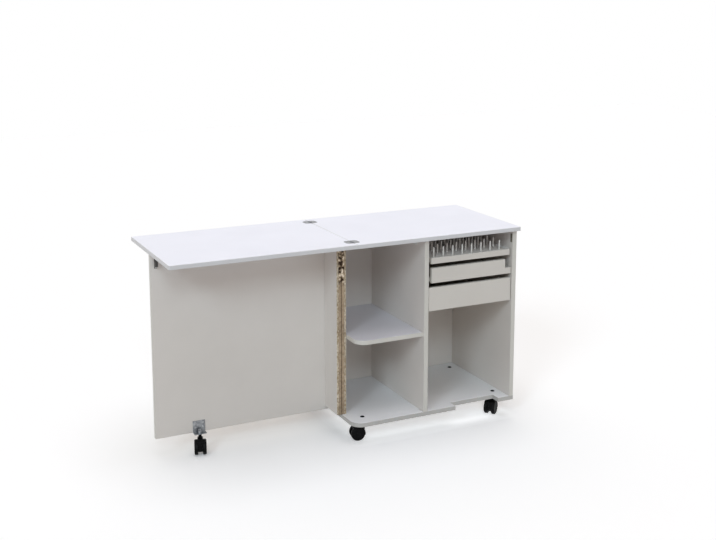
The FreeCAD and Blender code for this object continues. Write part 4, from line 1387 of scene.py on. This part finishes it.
@dataclass(frozen=True)
class SeamlessPaper:
    """Pale studio paper on the floor: a matt sheet that keeps the shadow and runs out into white.

    Below the cabinet, in the place from under_low to under_high, it glows more where the camera or a
    reflection sees it: painted light that lifts the cabinet's shadow.
    """

    name: str = "seamless_paper"
    colour: str = "#C4C4C4"
    seen_colour: str = "#E7E7E7"
    fibre: Spots = Spots(3.0, 3.0)
    fibre_share: float = 0.2
    fibre_depth: float = 0.05
    lift: float = 0.169
    painted_glow_under: float = 0.55
    under_low: Point = (30.0, -200.0)
    under_high: Point = (680.0, 245.0)
    under_soft: float = 50.0

    def material(self) -> bpy.types.Material:
        """Makes the paper's material.

        Returns:
            Matt paper, lifted to white only where the camera or a reflection sees it.
        """
        material = bpy.data.materials.new(self.name)
        tree = empty_tree(material)
        place = add(tree, "TexCoord").outputs["Object"]
        fibre = add(tree, "TexNoise", self.fibre.inputs(place))
        raised: Inputs = {"Height": fibre, "Strength": self.fibre_share, "Distance": self.fibre_depth * MM}
        seen = seen_directly(tree)
        tones: Inputs = {"Fac": seen, "Color1": linear(self.colour), "Color2": linear(self.seen_colour)}
        sheet: Inputs = {"Color": add(tree, "MixRGB", tones), "Normal": add(tree, "Bump", raised)}
        # Under the cabinet the glow is stronger: painted light on the floor.
        lifts = between(self.underneath(tree, place), (0.0, 1.0), (self.lift, self.painted_glow_under))
        glow = add(tree, "Math", {0: seen, 1: add(tree, "MapRange", lifts)}, operation="MULTIPLY")
        matt, light = add(tree, "BsdfDiffuse", sheet), add(tree, "Emission", {"Strength": glow})
        add(tree, "OutputMaterial", {"Surface": add(tree, "AddShader", {0: matt, 1: light})})
        return material

    def underneath(self, tree: Tree, place: Source) -> Source:
        """One below the cabinet and nought around it.

        Args:
            tree: Node tree of the paper.
            place: Coordinates on the floor, in metres.

        Returns:
            Source of the mask, which fades out softly at its rim.
        """
        apart = add(tree, "SeparateXYZ", {"Vector": place})
        mask: Source | float = 1.0
        for axis, low, high in zip("XY", self.under_low, self.under_high):
            for rim, way in ((low, 1), (high, -1)):
                reach = ((rim - way * self.under_soft) * MM, (rim + way * self.under_soft) * MM)
                soft = between(apart.outputs[axis], reach)
                fade = add(tree, "MapRange", soft, interpolation_type="SMOOTHSTEP")
                mask = add(tree, "Math", {0: mask, 1: fade}, operation="MULTIPLY")
        return mask


@dataclass(frozen=True)
class Lamp:
    """A far, soft lamp: where it stands as seen from the table, its strength and its width in degrees."""

    name: str
    heading: float
    height: float
    strength: float
    width: float
    colour: str
    metres_away: float = 4.0

    def build(self) -> None:
        """Adds the lamp."""
        lamp = bpy.data.lights.new(self.name, "SUN")
        lamp.energy = self.strength * math.pi
        lamp.angle = math.radians(self.width)
        lamp.color = linear(self.colour)[:3]
        holder = into_scene(self.name, lamp)
        a, e = math.radians(self.heading), math.radians(self.height)
        towards = Vector((math.sin(a) * math.cos(e), -math.cos(a) * math.cos(e), math.sin(e)))
        holder.rotation_mode = "QUATERNION"
        holder.rotation_quaternion = towards.to_track_quat("Z", "Y")
        holder.location = towards * self.metres_away


@dataclass(frozen=True)
class Viewpoint:
    """Where the camera stands and how it looks, with its focal length in pixels of the frame."""

    place: tuple[float, float, float] = (-1714.2, -3778.4, 1701.5)
    heading: float = 25.873
    tilt: float = -9.738
    focal: float = 1120.9
    frame_width: float = 716.0
    frame_height: float = 540.0
    axis_row: float = 176.0

    def build(self) -> None:
        """Adds the camera and makes it the scene's own."""
        data = bpy.data.cameras.new("camera")
        data.sensor_width = 36.0
        data.lens = self.focal / self.frame_width * data.sensor_width
        data.shift_y = (self.axis_row - self.frame_height / 2) / self.frame_width
        data.clip_start, data.clip_end = 0.1, 100.0
        camera = into_scene("camera", data)
        a, e = math.radians(self.heading), math.radians(self.tilt)
        ahead = Vector((math.sin(a) * math.cos(e), math.cos(a) * math.cos(e), math.sin(e)))
        camera.rotation_mode = "QUATERNION"
        camera.rotation_quaternion = ahead.to_track_quat("-Z", "Y")
        camera.location = Vector(self.place) * MM
        bpy.context.scene.camera = camera


@dataclass(frozen=True)
class Studio:
    """Floor, sky, lamps and camera."""

    reach: float = 9000.0
    sky_strength: float = 0.37
    sky_colour: str = "#FFEEDE"
    lamps: tuple[Lamp, ...] = (
        Lamp("overhead_lamp", 0.0, 85.0, 0.433, 50.0, "#F2F6FF"),
        Lamp("rear_lamp", 180.0, 62.0, 0.157, 55.0, "#FFFFF8"),
        Lamp("front_lamp", -20.0, 31.0, 0.187, 14.0, "#E0F3FF"),
        Lamp("left_lamp", -50.0, 31.0, 0.218, 14.0, "#E0F3FF"),
    )

    def floor(self) -> None:
        """Adds the floor."""
        data = bpy.data.meshes.new("studio_floor")
        half = self.reach * MM
        corners = [(x, y, 0.0) for x, y in rectangle((-half, -half), (half, half))]
        data.from_pydata(corners, [], [(0, 1, 2, 3)])
        data.materials.append(SeamlessPaper().material())
        into_scene("studio_floor", data)

    def sky(self) -> None:
        """Adds the even light from all round, seen as white."""
        world = bpy.data.worlds.new("studio_sky")
        tree = empty_tree(world)
        dim = add(tree, "Background", {"Color": linear(self.sky_colour), "Strength": self.sky_strength})
        white = add(tree, "Background", {"Color": linear(WHITE), "Strength": 1.0})
        mixed = add(tree, "MixShader", {0: seen_directly(tree), 1: dim, 2: white})
        add(tree, "OutputWorld", {"Surface": mixed})
        bpy.context.scene.world = world

    def build(self) -> None:
        """Builds the studio."""
        bpy.context.scene.view_settings.view_transform = "Standard"
        Viewpoint().build()
        self.floor()
        self.sky()
        for lamp in self.lamps:
            lamp.build()


def main() -> None:
    """Builds the studio and the table."""
    logging.basicConfig(level=logging.INFO, format="%(name)s %(message)s")
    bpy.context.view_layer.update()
    Studio().build()
    Tops().build()
    Carcass().build()
    Door().build()
    Trays().build()
    for name in ("front_left", "front_right", "rear_left", "rear_right", "door"):
        Caster(f"caster_{name}").build()


if __name__ == "__main__":
    main()
